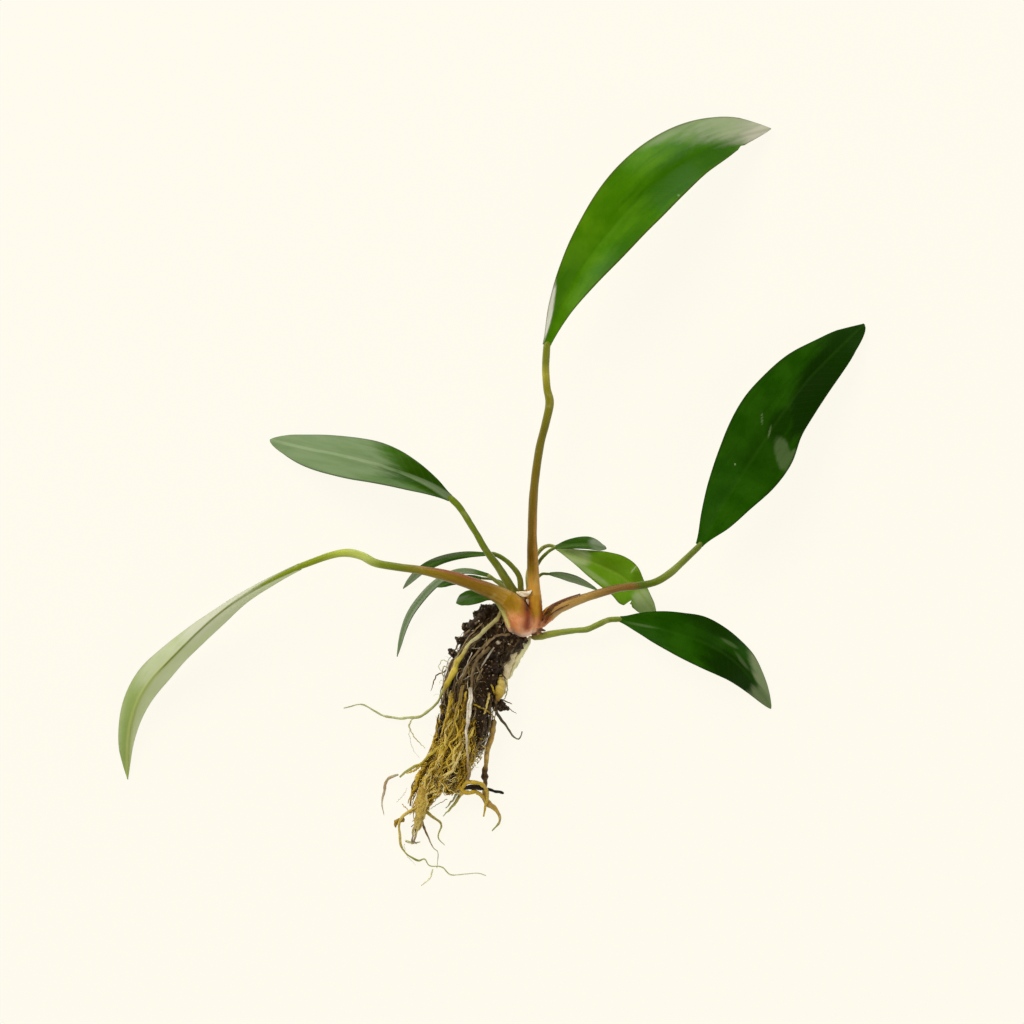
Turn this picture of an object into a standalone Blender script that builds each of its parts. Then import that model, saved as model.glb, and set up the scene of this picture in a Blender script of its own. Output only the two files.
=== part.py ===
# Bare-rooted anubias, a rosette of lance-shaped leaves on fleshy stalks, lying on its side.
# Long axis of the roots runs toward -Y, the tallest leaf toward +Y, the surface is z = 0.
# Lists of points, widths and diameters are in millimetres and are scaled once, in vec().

import math

import bpy
import bmesh
from mathutils import Vector

# Driving dimensions
MM = 0.001
ORIGIN = (0.65, -1.40)          # plan position of the origin, middle of the plant's extent
CLEARANCE = 0.40                # gap between a root and the ball that it runs over
BASE_GAP = 0.45                 # gap between a stalk and its blade
BLADE_THICK = 0.75              # leaf thickness along the midrib
MARGIN_THICK = 0.45             # leaf thickness at its margins
MIDRIB_KEEL = 0.5               # how far the midrib stands out below the blade
MARGIN_BEND = 1.35              # over 1, a blade bends more toward its margins
SWELL = 0.08                    # how far each half swells, as a share of its width
BALL_FLAT = 0.85                # height of the root ball's axis as a share of its radius
BALL_TALL = 0.95                # half height of the root ball as a share of its radius
LUMP = 0.35                     # depth of the root ball's lumps

# How finely each kind of piece is divided
BIG_BLADE = (13, 3)             # stations along, strips on each side of the midrib
SMALL_BLADE = (9, 2)
BIG_STALK = (14, 8)             # stations along, sides around
SMALL_STALK = (8, 6)
ROOT_SIDES = 6
BALL_RINGS = 18
BALL_SIDES = 16
CROWN_SIDES = 14

# Each leaf: stalk route (x, y, z, diameter) and midrib route (x, y, z); then, at equal steps
# along the midrib, the half widths seen from above and how far each margin rises above it
BLADE_PROFILES = ("left", "right", "rise_left", "rise_right")
LEAVES = {
    "tall": {
        "size": "big",
        "stalk": [(14.6, -37.5, 12.9, 4.2), (14.1, -32.0, 13.0, 4.1), (13.2, -26.5, 13.4, 3.8),
                  (12.7, -18.4, 14.5, 3.3), (12.6, -9.5, 16.0, 2.8), (13.1, 2.3, 18.0, 2.6),
                  (14.7, 14.4, 20.0, 2.4), (16.5, 21.8, 21.3, 2.4), (17.7, 27.9, 22.3, 2.5),
                  (16.9, 32.3, 23.0, 2.3), (16.5, 38.2, 24.0, 2.2), (16.8, 44.3, 25.0, 2.1)],
        "midrib": [(20.7, 56.5, 28.0), (27.4, 68.1, 30.0), (35.9, 79.0, 30.5), (45.7, 89.9, 28.5),
                   (57.8, 99.3, 23.0), (70.2, 105.9, 14.0), (84.2, 110.7, 2.0)],
        "left": [1.2, 2.8, 5.2, 7.7, 9.8, 10.9, 11.3, 10.6, 8.8, 5.6, 0.5],
        "right": [1.0, 3.5, 5.8, 7.5, 8.3, 8.8, 7.9, 6.3, 4.8, 2.4, 0.5],
        "rise_left": [0.0, 2.0, 0.5, -2.5, -5.0, -5.0, 0.0],
        "rise_right": [0.0, 3.0, 4.5, 4.0, 2.5, 0.5, 0.0],
    },
    "right": {
        "size": "big",
        "stalk": [(16.4, -36.3, 8.3, 3.8), (19.1, -33.4, 11.7, 3.9), (22.6, -31.6, 14.5, 3.4),
                  (27.3, -29.9, 16.6, 2.7), (32.9, -28.1, 18.4, 2.5), (38.5, -26.6, 19.6, 2.3),
                  (44.3, -25.9, 20.6, 2.2), (49.0, -24.8, 21.3, 2.2), (53.1, -22.3, 22.0, 2.2),
                  (57.2, -18.6, 22.7, 2.0), (61.6, -14.4, 23.3, 1.8)],
        "midrib": [(67.2, -4.2, 24.0), (73.8, 6.0, 23.5), (80.0, 15.2, 21.5), (86.6, 25.1, 18.5),
                   (94.3, 34.8, 14.0), (103.1, 43.7, 8.5), (112.1, 52.2, 1.5)],
        "left": [0.8, 3.1, 6.9, 9.6, 11.4, 11.9, 11.0, 9.5, 6.9, 4.2, 0.5],
        "right": [0.8, 5.2, 7.7, 9.9, 10.3, 8.5, 7.8, 7.0, 5.8, 4.0, 0.5],
        "rise_left": [0.0, 1.0, 2.0, 2.5, 2.0, 1.0, 0.0],
        "rise_right": [0.0, 0.5, 1.0, 0.5, 0.5, 0.5, 0.0],
    },
    "upper_left": {
        "size": "big",
        "stalk": [(8.5, -30.6, 11.5, 2.9), (6.5, -27.0, 13.2, 2.8), (4.4, -23.5, 15.0, 2.5),
                  (2.2, -20.0, 16.5, 2.3), (0.1, -17.2, 18.0, 2.1), (-1.9, -14.2, 19.2, 2.0),
                  (-3.6, -11.1, 20.0, 1.9), (-5.4, -8.2, 21.0, 1.9), (-7.5, -4.8, 22.0, 1.9),
                  (-9.3, -2.3, 22.6, 2.0), (-11.2, -0.4, 23.0, 1.9)],
        "midrib": [(-17.5, 3.7, 25.0), (-24.8, 7.0, 25.5), (-33.7, 10.0, 23.5),
                   (-44.2, 12.6, 18.5), (-55.0, 14.8, 11.5), (-65.9, 17.4, 3.0)],
        "left": [1.1, 2.3, 3.5, 4.3, 4.9, 5.4, 5.4, 5.0, 4.0, 2.6, 0.4],
        "right": [0.9, 2.6, 4.5, 6.0, 6.6, 6.3, 5.7, 5.0, 4.0, 2.7, 0.4],
        "rise_left": [0.0, 2.0, 4.0, 5.0, 4.5, 2.5, 0.0],
        "rise_right": [0.0, 0.0, -2.5, -5.0, -6.0, -4.0, 0.0],
    },
    "long_left": {
        "size": "big",
        "stalk": [(9.8, -39.4, 14.7, 6.2), (8.9, -34.1, 17.6, 6.2), (6.0, -30.5, 19.8, 5.4),
                  (1.6, -28.1, 21.0, 4.7), (-4.3, -25.7, 22.0, 4.0), (-11.7, -23.2, 23.0, 3.4),
                  (-19.9, -21.4, 24.0, 2.6), (-26.9, -20.4, 25.0, 2.3), (-33.4, -19.2, 26.0, 2.5),
                  (-37.5, -17.1, 26.8, 2.5), (-41.8, -16.2, 27.2, 2.4), (-46.8, -17.0, 27.4, 2.1),
                  (-55.2, -20.0, 27.2, 1.8)],
        "midrib": [(-63.0, -23.6, 27.5), (-70.4, -27.7, 27.0),
                   (-77.8, -32.7, 26.0), (-85.4, -39.1, 24.0), (-94.6, -48.1, 20.0),
                   (-100.9, -54.8, 16.5), (-105.1, -62.0, 12.5), (-107.5, -70.8, 7.8),
                   (-108.4, -83.6, 0.7)],
        "left": [1.0, 1.7, 2.2, 3.2, 3.4, 3.3, 3.8, 3.2, 2.1, 0.9, 0.4],
        "right": [0.9, 1.0, 1.3, 1.9, 3.1, 4.3, 5.0, 4.8, 4.1, 3.0, 0.4],
        "rise_left": [0.0, -1.5, -4.5, -6.0, -6.0, -4.0, 0.0],
        "rise_right": [0.0, -1.5, -5.0, -7.0, -7.0, -5.0, 0.0],
    },
    "low_right": {
        "size": "big",
        "stalk": [(15.7, -41.3, 6.8, 2.7), (18.0, -40.6, 8.3, 2.2), (21.5, -40.0, 8.8, 1.9),
                  (25.7, -39.5, 8.6, 1.7), (28.9, -39.2, 8.6, 1.8), (31.9, -37.9, 8.9, 1.8),
                  (35.2, -36.4, 9.3, 1.7), (38.2, -36.1, 9.8, 1.6)],
        "midrib": [(47.6, -37.9, 12.5), (56.4, -40.4, 14.0), (65.4, -43.8, 13.5),
                   (73.0, -48.8, 10.5), (79.2, -55.6, 6.0), (84.3, -63.2, 0.8)],
        "left": [0.8, 3.0, 4.9, 6.2, 7.2, 6.8, 6.1, 5.4, 4.0, 2.4, 0.4],
        "right": [0.8, 2.7, 4.6, 5.9, 6.8, 7.0, 6.4, 5.2, 3.8, 2.3, 0.4],
        "rise_left": [0.0, 0.5, 0.5, -0.5, -2.5, -2.5, 0.0],
        "rise_right": [0.0, 1.0, 2.0, 2.5, 2.0, 1.0, 0.0],
    },
    "small_dark": {
        "size": "small",
        "stalk": [(12.4, -29.0, 8.7, 1.7), (12.4, -24.0, 9.0, 1.3), (14.7, -19.0, 9.4, 1.1),
                  (17.2, -16.2, 9.8, 1.0), (19.2, -14.9, 10.0, 0.9)],
        "midrib": [(24.5, -14.0, 11.2), (29.2, -14.0, 11.0), (34.8, -15.2, 8.0)],
        "left": [0.5, 1.0, 1.5, 1.9, 2.2, 2.4, 2.5, 2.3, 1.8, 1.1, 0.3],
        "right": [0.5, 0.6, 0.8, 0.9, 1.0, 1.1, 1.1, 1.1, 1.0, 0.8, 0.3],
        "rise_left": [0.0, 0.2, -0.4, -0.8, -1.0, -0.6, 0.0],
        "rise_right": [0.0, 0.4, 0.6, 0.6, 0.4, 0.2, 0.0],
    },
    "torn": {
        "size": "small",
        "stalk": [(11.8, -29.0, 5.9, 1.7), (11.4, -22.4, 6.2, 1.4), (13.8, -17.3, 6.8, 1.3),
                  (15.8, -14.9, 7.1, 1.2), (17.8, -14.2, 7.1, 1.1), (19.5, -14.7, 7.0, 1.1)],
        "midrib": [(26.9, -17.9, 7.6), (33.7, -20.6, 7.8), (39.4, -23.6, 7.4),
                   (44.2, -27.8, 5.8), (47.3, -31.4, 4.0), (49.9, -35.2, 1.6)],
        "left": [0.6, 1.3, 2.5, 3.7, 4.8, 5.5, 5.2, 3.5, 2.2, 1.4, 0.4],
        "right": [0.6, 1.4, 2.5, 4.0, 5.1, 5.7, 5.6, 5.3, 3.0, 3.1, 0.6],
        "rise_left": [0.0, 0.8, 1.4, 1.6, 1.2, 0.6, 0.0],
        "rise_right": [0.0, 0.5, 1.0, 1.2, 1.0, 0.5, 0.0],
    },
    "narrow_right": {
        "size": "small",
        "stalk": [(13.4, -29.0, 4.3, 1.2), (13.4, -25.5, 4.4, 1.0), (15.3, -22.9, 4.5, 0.9),
                  (17.4, -22.7, 4.6, 0.8)],
        "midrib": [(21.5, -23.3, 5.0), (25.4, -24.4, 4.5), (29.0, -26.0, 3.0),
                   (32.3, -27.6, 1.0)],
        "left": [0.4, 0.7, 0.9, 1.0, 1.0, 1.0, 0.9, 0.8, 0.6, 0.4, 0.3],
        "right": [0.4, 0.7, 0.9, 1.1, 1.2, 1.1, 1.0, 0.8, 0.6, 0.4, 0.3],
        "rise_left": [0.0, 0.6, 1.0, 0.8, 0.4, 0.0],
        "rise_right": [0.0, -0.4, -0.8, -0.6, -0.2, 0.0],
    },
    "back_left": {
        "size": "small",
        "stalk": [(9.3, -29.0, 8.7, 1.9), (8.8, -23.6, 9.2, 1.7), (6.3, -20.0, 10.0, 1.5),
                  (3.6, -17.8, 10.6, 1.4), (1.2, -16.7, 11.0, 1.3), (-0.4, -16.7, 11.2, 1.2)],
        "midrib": [(-5.9, -16.8, 12.0), (-11.2, -17.6, 11.6),
                   (-16.0, -19.1, 9.8), (-20.3, -21.5, 7.0), (-23.3, -24.2, 3.8), (-26.1, -27.2, 0.8)],
        "left": [0.5, 0.8, 1.0, 1.1, 1.2, 1.3, 1.3, 1.2, 1.0, 0.7, 0.3],
        "right": [0.5, 0.6, 0.8, 0.9, 1.0, 1.1, 1.2, 1.1, 1.0, 0.7, 0.3],
        "rise_left": [0.0, -0.4, -0.8, -0.8, -0.4, 0.0],
        "rise_right": [0.0, 0.6, 1.2, 1.0, 0.6, 0.0],
    },
    "droop_left": {
        "size": "small",
        "stalk": [(8.3, -28.7, 6.0, 1.4), (5.2, -27.2, 6.8, 1.3), (2.4, -25.2, 8.0, 1.2),
                  (-0.1, -23.3, 9.2, 1.1)],
        "midrib": [(-5.9, -21.6, 10.6), (-10.4, -22.0, 10.6), (-14.8, -24.3, 9.3),
                   (-19.3, -28.5, 7.3), (-23.6, -34.2, 5.1), (-26.2, -40.3, 2.9), (-27.9, -47.6, 0.6)],
        "left": [0.5, 0.8, 0.9, 1.0, 1.0, 1.0, 1.0, 0.9, 0.8, 0.6, 0.3],
        "right": [0.5, 0.6, 0.7, 0.8, 1.0, 1.1, 1.1, 1.0, 0.8, 0.5, 0.3],
        "rise_left": [0.0, 0.6, 1.0, 1.0, 0.6, 0.0],
        "rise_right": [0.0, -0.4, -0.8, -0.8, -0.4, 0.0],
    },
    "tip_left": {
        "size": "small",
        "stalk": [(9.8, -28.6, 4.6, 1.1), (5.6, -26.0, 4.6, 0.9), (1.2, -24.4, 4.6, 0.8),
                  (-2.2, -24.0, 4.6, 0.8)],
        "midrib": [(-6.5, -24.1, 5.0), (-11.3, -24.9, 4.0), (-16.0, -26.7, 1.4)],
        "left": [0.4, 0.9, 1.2, 1.3, 1.3, 1.2, 1.1, 1.0, 0.9, 0.6, 0.3],
        "right": [0.4, 0.7, 0.9, 1.0, 0.9, 0.8, 0.8, 0.8, 0.8, 0.6, 0.3],
        "rise_left": [0.0, 0.2, 0.4, 0.2, 0.0],
        "rise_right": [0.0, 0.4, 0.6, 0.4, 0.0],
    },
    "stub_left": {
        "size": "small",
        "stalk": [(7.3, -40.9, 10.3, 1.9), (5.2, -37.0, 11.8, 1.8), (3.5, -33.4, 11.8, 1.7),
                  (2.4, -31.2, 12.0, 1.5), (1.0, -30.1, 12.0, 1.3)],
        "midrib": [(-2.9, -29.3, 12.0), (-6.5, -29.8, 10.5), (-10.1, -31.4, 8.0)],
        "left": [0.6, 0.8, 1.4, 1.8, 2.0, 2.1, 2.1, 2.0, 1.6, 1.2, 0.4],
        "right": [0.6, 1.1, 1.4, 1.8, 1.9, 2.0, 2.1, 1.9, 1.7, 1.1, 0.4],
        "rise_left": [0.0, 0.5, 0.8, 0.5, 0.0],
        "rise_right": [0.0, 0.3, 0.5, 0.3, 0.0],
    },
}

# Crown, the short rootstock that carries every stalk: (x, y, z, half width, half height)
CROWN = [(10.6, -43.8, 6.8, 1.2, 1.4), (10.6, -43.0, 7.0, 2.8, 3.2), (10.8, -40.8, 7.2, 3.6, 4.3),
         (10.9, -37.0, 7.2, 3.7, 4.6), (10.9, -33.0, 7.1, 3.8, 4.5), (10.8, -30.6, 7.0, 3.5, 4.0),
         (10.7, -29.4, 6.9, 2.9, 3.3)]

# Root ball of fine roots and dark soil: plan position of its axis and its radius
BALL = [(2.2, -33.8, 1.8), (1.8, -35.6, 4.4), (0.8, -38.8, 6.8), (-0.9, -43.2, 8.1),
        (-3.2, -48.6, 8.5), (-5.6, -55.0, 8.2), (-7.0, -61.4, 8.3), (-7.3, -67.0, 8.6),
        (-8.3, -72.6, 8.6), (-10.0, -78.4, 8.4), (-12.6, -84.4, 7.8), (-15.8, -90.4, 6.4),
        (-19.0, -95.8, 4.8), (-21.2, -100.2, 3.2), (-22.4, -103.4, 1.6)]

# Roots: route (x, y, z) and the diameters at its two ends
ROOTS = {
    "root_long_left": ([(0.2, -36.6, 13.0), (-2.0, -39.6, 15.5), (-6.2, -43.4, 15.0),
                        (-10.2, -49.4, 13.0), (-12.4, -56.2, 11.5), (-16.6, -62.0, 8.0),
                        (-20.4, -64.4, 5.0), (-25.0, -65.9, 3.0), (-30.0, -65.7, 2.0),
                        (-34.5, -63.9, 1.3), (-38.6, -61.9, 0.9), (-42.0, -62.8, 0.7),
                        (-43.8, -63.0, 0.6)], 2.1, 0.6, 26),
    "root_short_white": ([(0.2, -46.2, 17.0), (-1.4, -50.2, 16.8)], 1.2, 0.8, 5),
    "root_white_strand": ([(-5.6, -59.6, 17.0), (-6.0, -66.6, 17.0), (-7.2, -73.6, 17.0),
                           (-7.2, -80.4, 15.0), (-6.4, -83.6, 12.0)], 1.1, 0.7, 12),
    "root_yellow_strand": ([(-9.8, -60.4, 16.0), (-10.4, -66.0, 16.0), (-12.2, -71.4, 14.5),
                            (-13.6, -75.0, 13.0)], 1.3, 1.0, 9),
    "root_pale_upper": ([(8.9, -44.0, 6.0), (7.0, -49.4, 6.6), (5.0, -54.2, 7.0),
                         (3.6, -60.0, 7.0)], 1.4, 0.9, 10),
    "root_pale_side": ([(11.6, -44.3, 5.4), (9.8, -49.0, 5.0), (7.0, -53.0, 5.0)], 1.2, 0.8, 8),
    "root_bud": ([(3.0, -54.8, 11.5), (2.6, -58.4, 11.0)], 2.4, 1.4, 5),
    "root_hook": ([(1.4, -62.6, 10.0), (4.5, -67.6, 9.2), (7.2, -71.0, 8.5), (9.0, -71.5, 8.5),
                   (9.9, -69.6, 9.0)], 1.1, 0.7, 12),
    "root_tan_loop": ([(1.0, -68.6, 8.0), (0.7, -74.0, 7.4), (0.0, -79.6, 6.6), (-0.9, -85.8, 5.0),
                       (-0.9, -90.2, 3.6), (1.5, -92.8, 2.8), (3.1, -95.9, 2.2), (2.4, -98.4, 1.6),
                       (0.3, -100.0, 1.2)], 1.9, 0.8, 18),
    "root_dead": ([(-6.0, -86.6, 10.0), (-1.4, -86.6, 10.2), (0.8, -87.2, 9.0), (4.0, -88.3, 8.0)],
                  1.1, 0.9, 7),
    "root_left_mid": ([(-16.6, -76.6, 6.6), (-22.0, -79.8, 4.8), (-26.0, -81.6, 3.6),
                       (-27.4, -84.2, 2.6)], 1.3, 0.9, 8),
    "root_left_curl": ([(-27.7, -82.6, 3.4), (-30.3, -83.3, 2.2), (-31.6, -85.7, 1.5),
                        (-32.1, -89.6, 1.0), (-32.4, -92.9, 0.8), (-31.8, -95.9, 0.6)], 1.0, 0.6, 12),
    "root_long_bottom": ([(-20.6, -87.2, 8.0), (-23.4, -91.4, 6.6), (-25.6, -95.0, 4.8),
                          (-26.4, -99.4, 3.6), (-26.6, -103.9, 2.8), (-24.4, -107.0, 2.2),
                          (-21.6, -108.5, 1.7), (-19.6, -108.2, 1.3), (-18.0, -110.3, 1.0),
                          (-14.4, -110.8, 0.7), (-11.7, -113.0, 0.6), (-7.2, -112.8, 0.5),
                          (-3.6, -112.6, 0.5), (-1.3, -113.3, 0.5)], 1.8, 0.6, 26),
    "root_bottom_fork": ([(-17.2, -111.3, 0.8), (-18.0, -114.0, 0.6), (-20.6, -116.2, 0.5)],
                         0.7, 0.6, 6),
    "root_stump": ([(-21.4, -95.0, 6.2), (-22.0, -99.4, 5.2), (-23.0, -103.4, 3.9)], 2.3, 2.8, 7),
    "root_right_low": ([(-15.6, -93.2, 5.2), (-14.4, -98.0, 3.4), (-15.2, -101.4, 2.4),
                        (-14.0, -104.5, 1.4)], 1.3, 0.8, 9),
    "root_brown_low": ([(-19.6, -99.8, 4.6), (-18.2, -103.6, 3.2), (-16.4, -107.0, 1.6)],
                       1.3, 0.8, 8),
    "root_fork_low": ([(-9.6, -89.2, 3.8), (-10.6, -93.0, 2.6), (-13.0, -95.6, 1.6)],
                      1.4, 0.8, 7),
}

# Colours as linear RGB, and roughness
FINISHES = {
    "leaf_green": ((0.045, 0.16, 0.010), 0.35),
    "stalk_olive": ((0.19, 0.20, 0.02), 0.4),
    "crown_tan": ((0.42, 0.19, 0.07), 0.5),
    "soil_dark": ((0.035, 0.02, 0.01), 0.95),
    "root_yellow": ((0.42, 0.34, 0.08), 0.6),
}


def clear_scene():
    for thing in list(bpy.data.objects):
        bpy.data.objects.remove(thing, do_unlink=True)


def vec(x, y, z):
    return Vector(((x - ORIGIN[0]) * MM, (y - ORIGIN[1]) * MM, z * MM))


def make_material(name):
    colour, roughness = FINISHES[name]
    material = bpy.data.materials.new(name)
    material.use_nodes = True
    shader = material.node_tree.nodes["Principled BSDF"]
    shader.inputs["Base Color"].default_value = (*colour, 1.0)
    shader.inputs["Roughness"].default_value = roughness
    shader.inputs["Metallic"].default_value = 0.0
    return material


# Smooth curves through hand-placed points

def spline_between(before, start, end, after, share):
    # one span of a Catmull-Rom spline, for points of any number of values
    values = []
    for a, b, c, d in zip(before, start, end, after):
        linear = (c - a) * share
        square = (2 * a - 5 * b + 4 * c - d) * share ** 2
        cube = (3 * b - a - 3 * c + d) * share ** 3
        values.append(b + 0.5 * (linear + square + cube))
    return values


def fine_route(points, per_span=24):
    first = [2 * a - b for a, b in zip(points[0], points[1])]
    last = [2 * a - b for a, b in zip(points[-1], points[-2])]
    padded = [first, *points, last]
    route = []
    for i in range(len(points) - 1):
        for k in range(per_span):
            route.append(spline_between(*padded[i:i + 4], k / per_span))
    route.append(list(points[-1]))
    return route


def even_steps(points, count):
    # the same curve read at equal steps of its length in space
    route = fine_route(points)
    lengths = [0.0]
    for a, b in zip(route, route[1:]):
        lengths.append(lengths[-1] + math.dist(a[:3], b[:3]))
    stations = []
    k = 0
    for i in range(count):
        goal = lengths[-1] * i / (count - 1)
        while k < len(lengths) - 2 and lengths[k + 1] < goal:
            k += 1
        share = (goal - lengths[k]) / max(lengths[k + 1] - lengths[k], 1e-9)
        stations.append([a + (b - a) * share for a, b in zip(route[k], route[k + 1])])
    return stations


def read_list(values, share):
    # a smooth reading of evenly spaced values at a share from 0 to 1
    place = min(max(share, 0.0), 1.0) * (len(values) - 1)
    i = min(int(place), len(values) - 2)
    before = values[max(i - 1, 0)]
    after = values[min(i + 2, len(values) - 1)]
    return spline_between([before], [values[i]], [values[i + 1]], [after], place - i)[0]


def tangents(centres):
    found = []
    for i in range(len(centres)):
        ahead = centres[min(i + 1, len(centres) - 1)]
        behind = centres[max(i - 1, 0)]
        found.append((ahead - behind).normalized())
    return found


# Solids from rows of rings

def loft(name, rings, material):
    # skins a row of equal rings into one closed body with flat ends
    mesh = bpy.data.meshes.new(name)
    bm = bmesh.new()
    rows = [[bm.verts.new(point) for point in ring] for ring in rings]
    count = len(rings[0])
    for low, high in zip(rows, rows[1:]):
        for i in range(count):
            j = (i + 1) % count
            bm.faces.new((low[i], low[j], high[j], high[i]))
    bm.faces.new(rows[0][::-1])
    bm.faces.new(rows[-1])
    bmesh.ops.triangulate(bm, faces=bm.faces[:])
    bmesh.ops.recalc_face_normals(bm, faces=bm.faces[:])
    bm.to_mesh(mesh)
    bm.free()
    mesh.shade_smooth()
    mesh.set_sharp_from_angle(angle=math.radians(50))
    mesh.materials.append(material)
    thing = bpy.data.objects.new(name, mesh)
    bpy.context.collection.objects.link(thing)
    return thing


def tube(name, stations, sides, material):
    # stations are (x, y, z, diameter); the section never dips under the surface
    centres = [vec(*s[:3]) for s in stations]
    rings = []
    for centre, along, station in zip(centres, tangents(centres), stations):
        side = along.cross(Vector((0, 0, 1)))
        if side.length < 0.05:
            side = Vector((1, 0, 0))
        side.normalize()
        up = side.cross(along)
        radius = station[3] * 0.5 * MM
        ring = []
        for i in range(sides):
            angle = 2 * math.pi * (i + 0.5) / sides
            point = centre + side * radius * math.cos(angle) + up * radius * math.sin(angle)
            point.z = max(point.z, 0.0)
            ring.append(point)
        rings.append(ring)
    return loft(name, rings, material)


# Leaves

def blade_section(half_left, half_right, rise_left, rise_right, strips):
    # (offset to the right, height, share from midrib to margin) from the left margin to the right
    section = []
    for i in range(-strips, strips + 1):
        share = abs(i) / strips
        width = half_left if i < 0 else half_right
        rise = rise_left if i < 0 else rise_right
        height = rise * share ** MARGIN_BEND + SWELL * width * math.sin(math.pi * share)
        side = -1 if i < 0 else 1
        section.append((side * width * share, height, share))
    return section


def beyond(route, gap):
    # the point a short way past the end of a route, straight on
    last = Vector(route[-1][:3])
    along = (last - Vector(route[-2][:3])).normalized()
    return tuple(last + along * gap)


def blade(name, leaf, material):
    stations, strips = BIG_BLADE if leaf["size"] == "big" else SMALL_BLADE
    path = even_steps([beyond(leaf["stalk"], BASE_GAP), *leaf["midrib"]], stations)
    centres = [vec(*p) for p in path]
    rings = []
    for i, (centre, along) in enumerate(zip(centres, tangents(centres))):
        share = i / (stations - 1)
        side = along.cross(Vector((0, 0, 1))).normalized()
        up = side.cross(along)
        opening = math.sin(math.pi * min(max(share, 0.02), 0.98)) ** 0.6
        section = blade_section(*[read_list(leaf[key], share) for key in BLADE_PROFILES], strips)
        rings.append(blade_ring(centre, side, up, section, opening))
    return loft(name, rings, material)


def blade_ring(centre, side, up, section, opening):
    # upper face from left to right, then the lower face back, a leaf's thickness below
    upper = []
    lower = []
    for k, (offset, height, share) in enumerate(section):
        ahead = section[min(k + 1, len(section) - 1)]
        behind = section[max(k - 1, 0)]
        slope = math.atan2(ahead[1] - behind[1], ahead[0] - behind[0])
        thick = BLADE_THICK + (MARGIN_THICK - BLADE_THICK) * share
        if share == 0:
            thick += MIDRIB_KEEL * opening
        point = centre + Vector((side.x * offset, side.y * offset, height)) * MM
        below = (side * math.sin(slope) - up * math.cos(slope)) * thick * MM
        upper.append(on_or_above(point))
        lower.append(on_or_above(point + below))
    return upper + lower[::-1]


def on_or_above(point):
    point.z = max(point.z, 0.0)
    return point


def stalk(name, leaf, material):
    stations, sides = BIG_STALK if leaf["size"] == "big" else SMALL_STALK
    return tube(name, even_steps(leaf["stalk"], stations), sides, material)


# Crown and root ball

def crown(material):
    rings = []
    for x, y, z, wide, tall in CROWN:
        ring = []
        for i in range(CROWN_SIDES):
            angle = 2 * math.pi * i / CROWN_SIDES
            ring.append(vec(x + wide * math.cos(angle), y, z + tall * math.sin(angle)))
        rings.append(ring)
    return loft("crown", rings, material)


def ball_radius(base, share, angle):
    # a few slow waves make the ball lumpy
    wave = math.sin(3 * angle + 9 * share) + math.sin(5 * angle - 17 * share)
    return base + LUMP * wave * min(1.0, base / 6)


def ball_directions(stations, i):
    ahead = stations[min(i + 1, len(stations) - 1)]
    behind = stations[max(i - 1, 0)]
    along = Vector((ahead[0] - behind[0], ahead[1] - behind[1], 0)).normalized()
    return along, along.cross(Vector((0, 0, 1)))


def ball_point(stations, i, angle):
    x, y, base = stations[i]
    _, side = ball_directions(stations, i)
    radius = ball_radius(base, i / (len(stations) - 1), angle)
    sideways = radius * math.cos(angle)
    height = base * BALL_FLAT + radius * BALL_TALL * math.sin(angle)
    return vec(x + side.x * sideways, y + side.y * sideways, max(height, 0.0))


def root_ball(material):
    stations = ball_stations(BALL_RINGS)
    rings = []
    for i in range(BALL_RINGS):
        angles = [2 * math.pi * k / BALL_SIDES for k in range(BALL_SIDES)]
        rings.append([ball_point(stations, i, angle) for angle in angles])
    return loft("root_ball", rings, material)


def ball_stations(count):
    lifted = [(x, y, 0.0, radius) for x, y, radius in BALL]
    return [(x, y, radius) for x, y, _, radius in even_steps(lifted, count)]


# Roots

def clear_of_ball(point, radius, stations):
    # moves a point straight out of the root ball until the root lies on it
    x, y, z = point
    i = min(range(len(stations)), key=lambda k: math.dist(stations[k][:2], (x, y)))
    near_x, near_y, ball = stations[i]
    out = Vector((x - near_x, y - near_y, (z - ball * BALL_FLAT) / BALL_TALL))
    _, side = ball_directions(stations, i)
    angle = math.atan2(out.z, out.dot(side))
    needed = ball_radius(ball, i / (len(stations) - 1), angle) + radius + CLEARANCE
    if out.length >= needed:
        return point
    out = out.normalized() * needed
    return (near_x + out.x, near_y + out.y, out.z * BALL_TALL + ball * BALL_FLAT)


def root(name, material, stations):
    route, start, end, count = ROOTS[name]
    placed = []
    for i, point in enumerate(even_steps(route, count)):
        diameter = start + (end - start) * i / (count - 1)
        place = clear_of_ball(point, diameter / 2, stations)
        placed.append((*place, diameter))
    return tube(name, placed, ROOT_SIDES, material)


def main():
    clear_scene()
    materials = {name: make_material(name) for name in FINISHES}
    crown(materials["crown_tan"])
    root_ball(materials["soil_dark"])
    for name, leaf in LEAVES.items():
        stalk("stalk_" + name, leaf, materials["stalk_olive"])
        blade("blade_" + name, leaf, materials["leaf_green"])
    stations = ball_stations(80)
    for name in ROOTS:
        root(name, materials["root_yellow"], stations)


main()
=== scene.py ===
import math
import random
from functools import partial

import bpy
import numpy as np
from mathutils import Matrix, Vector, noise

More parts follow.
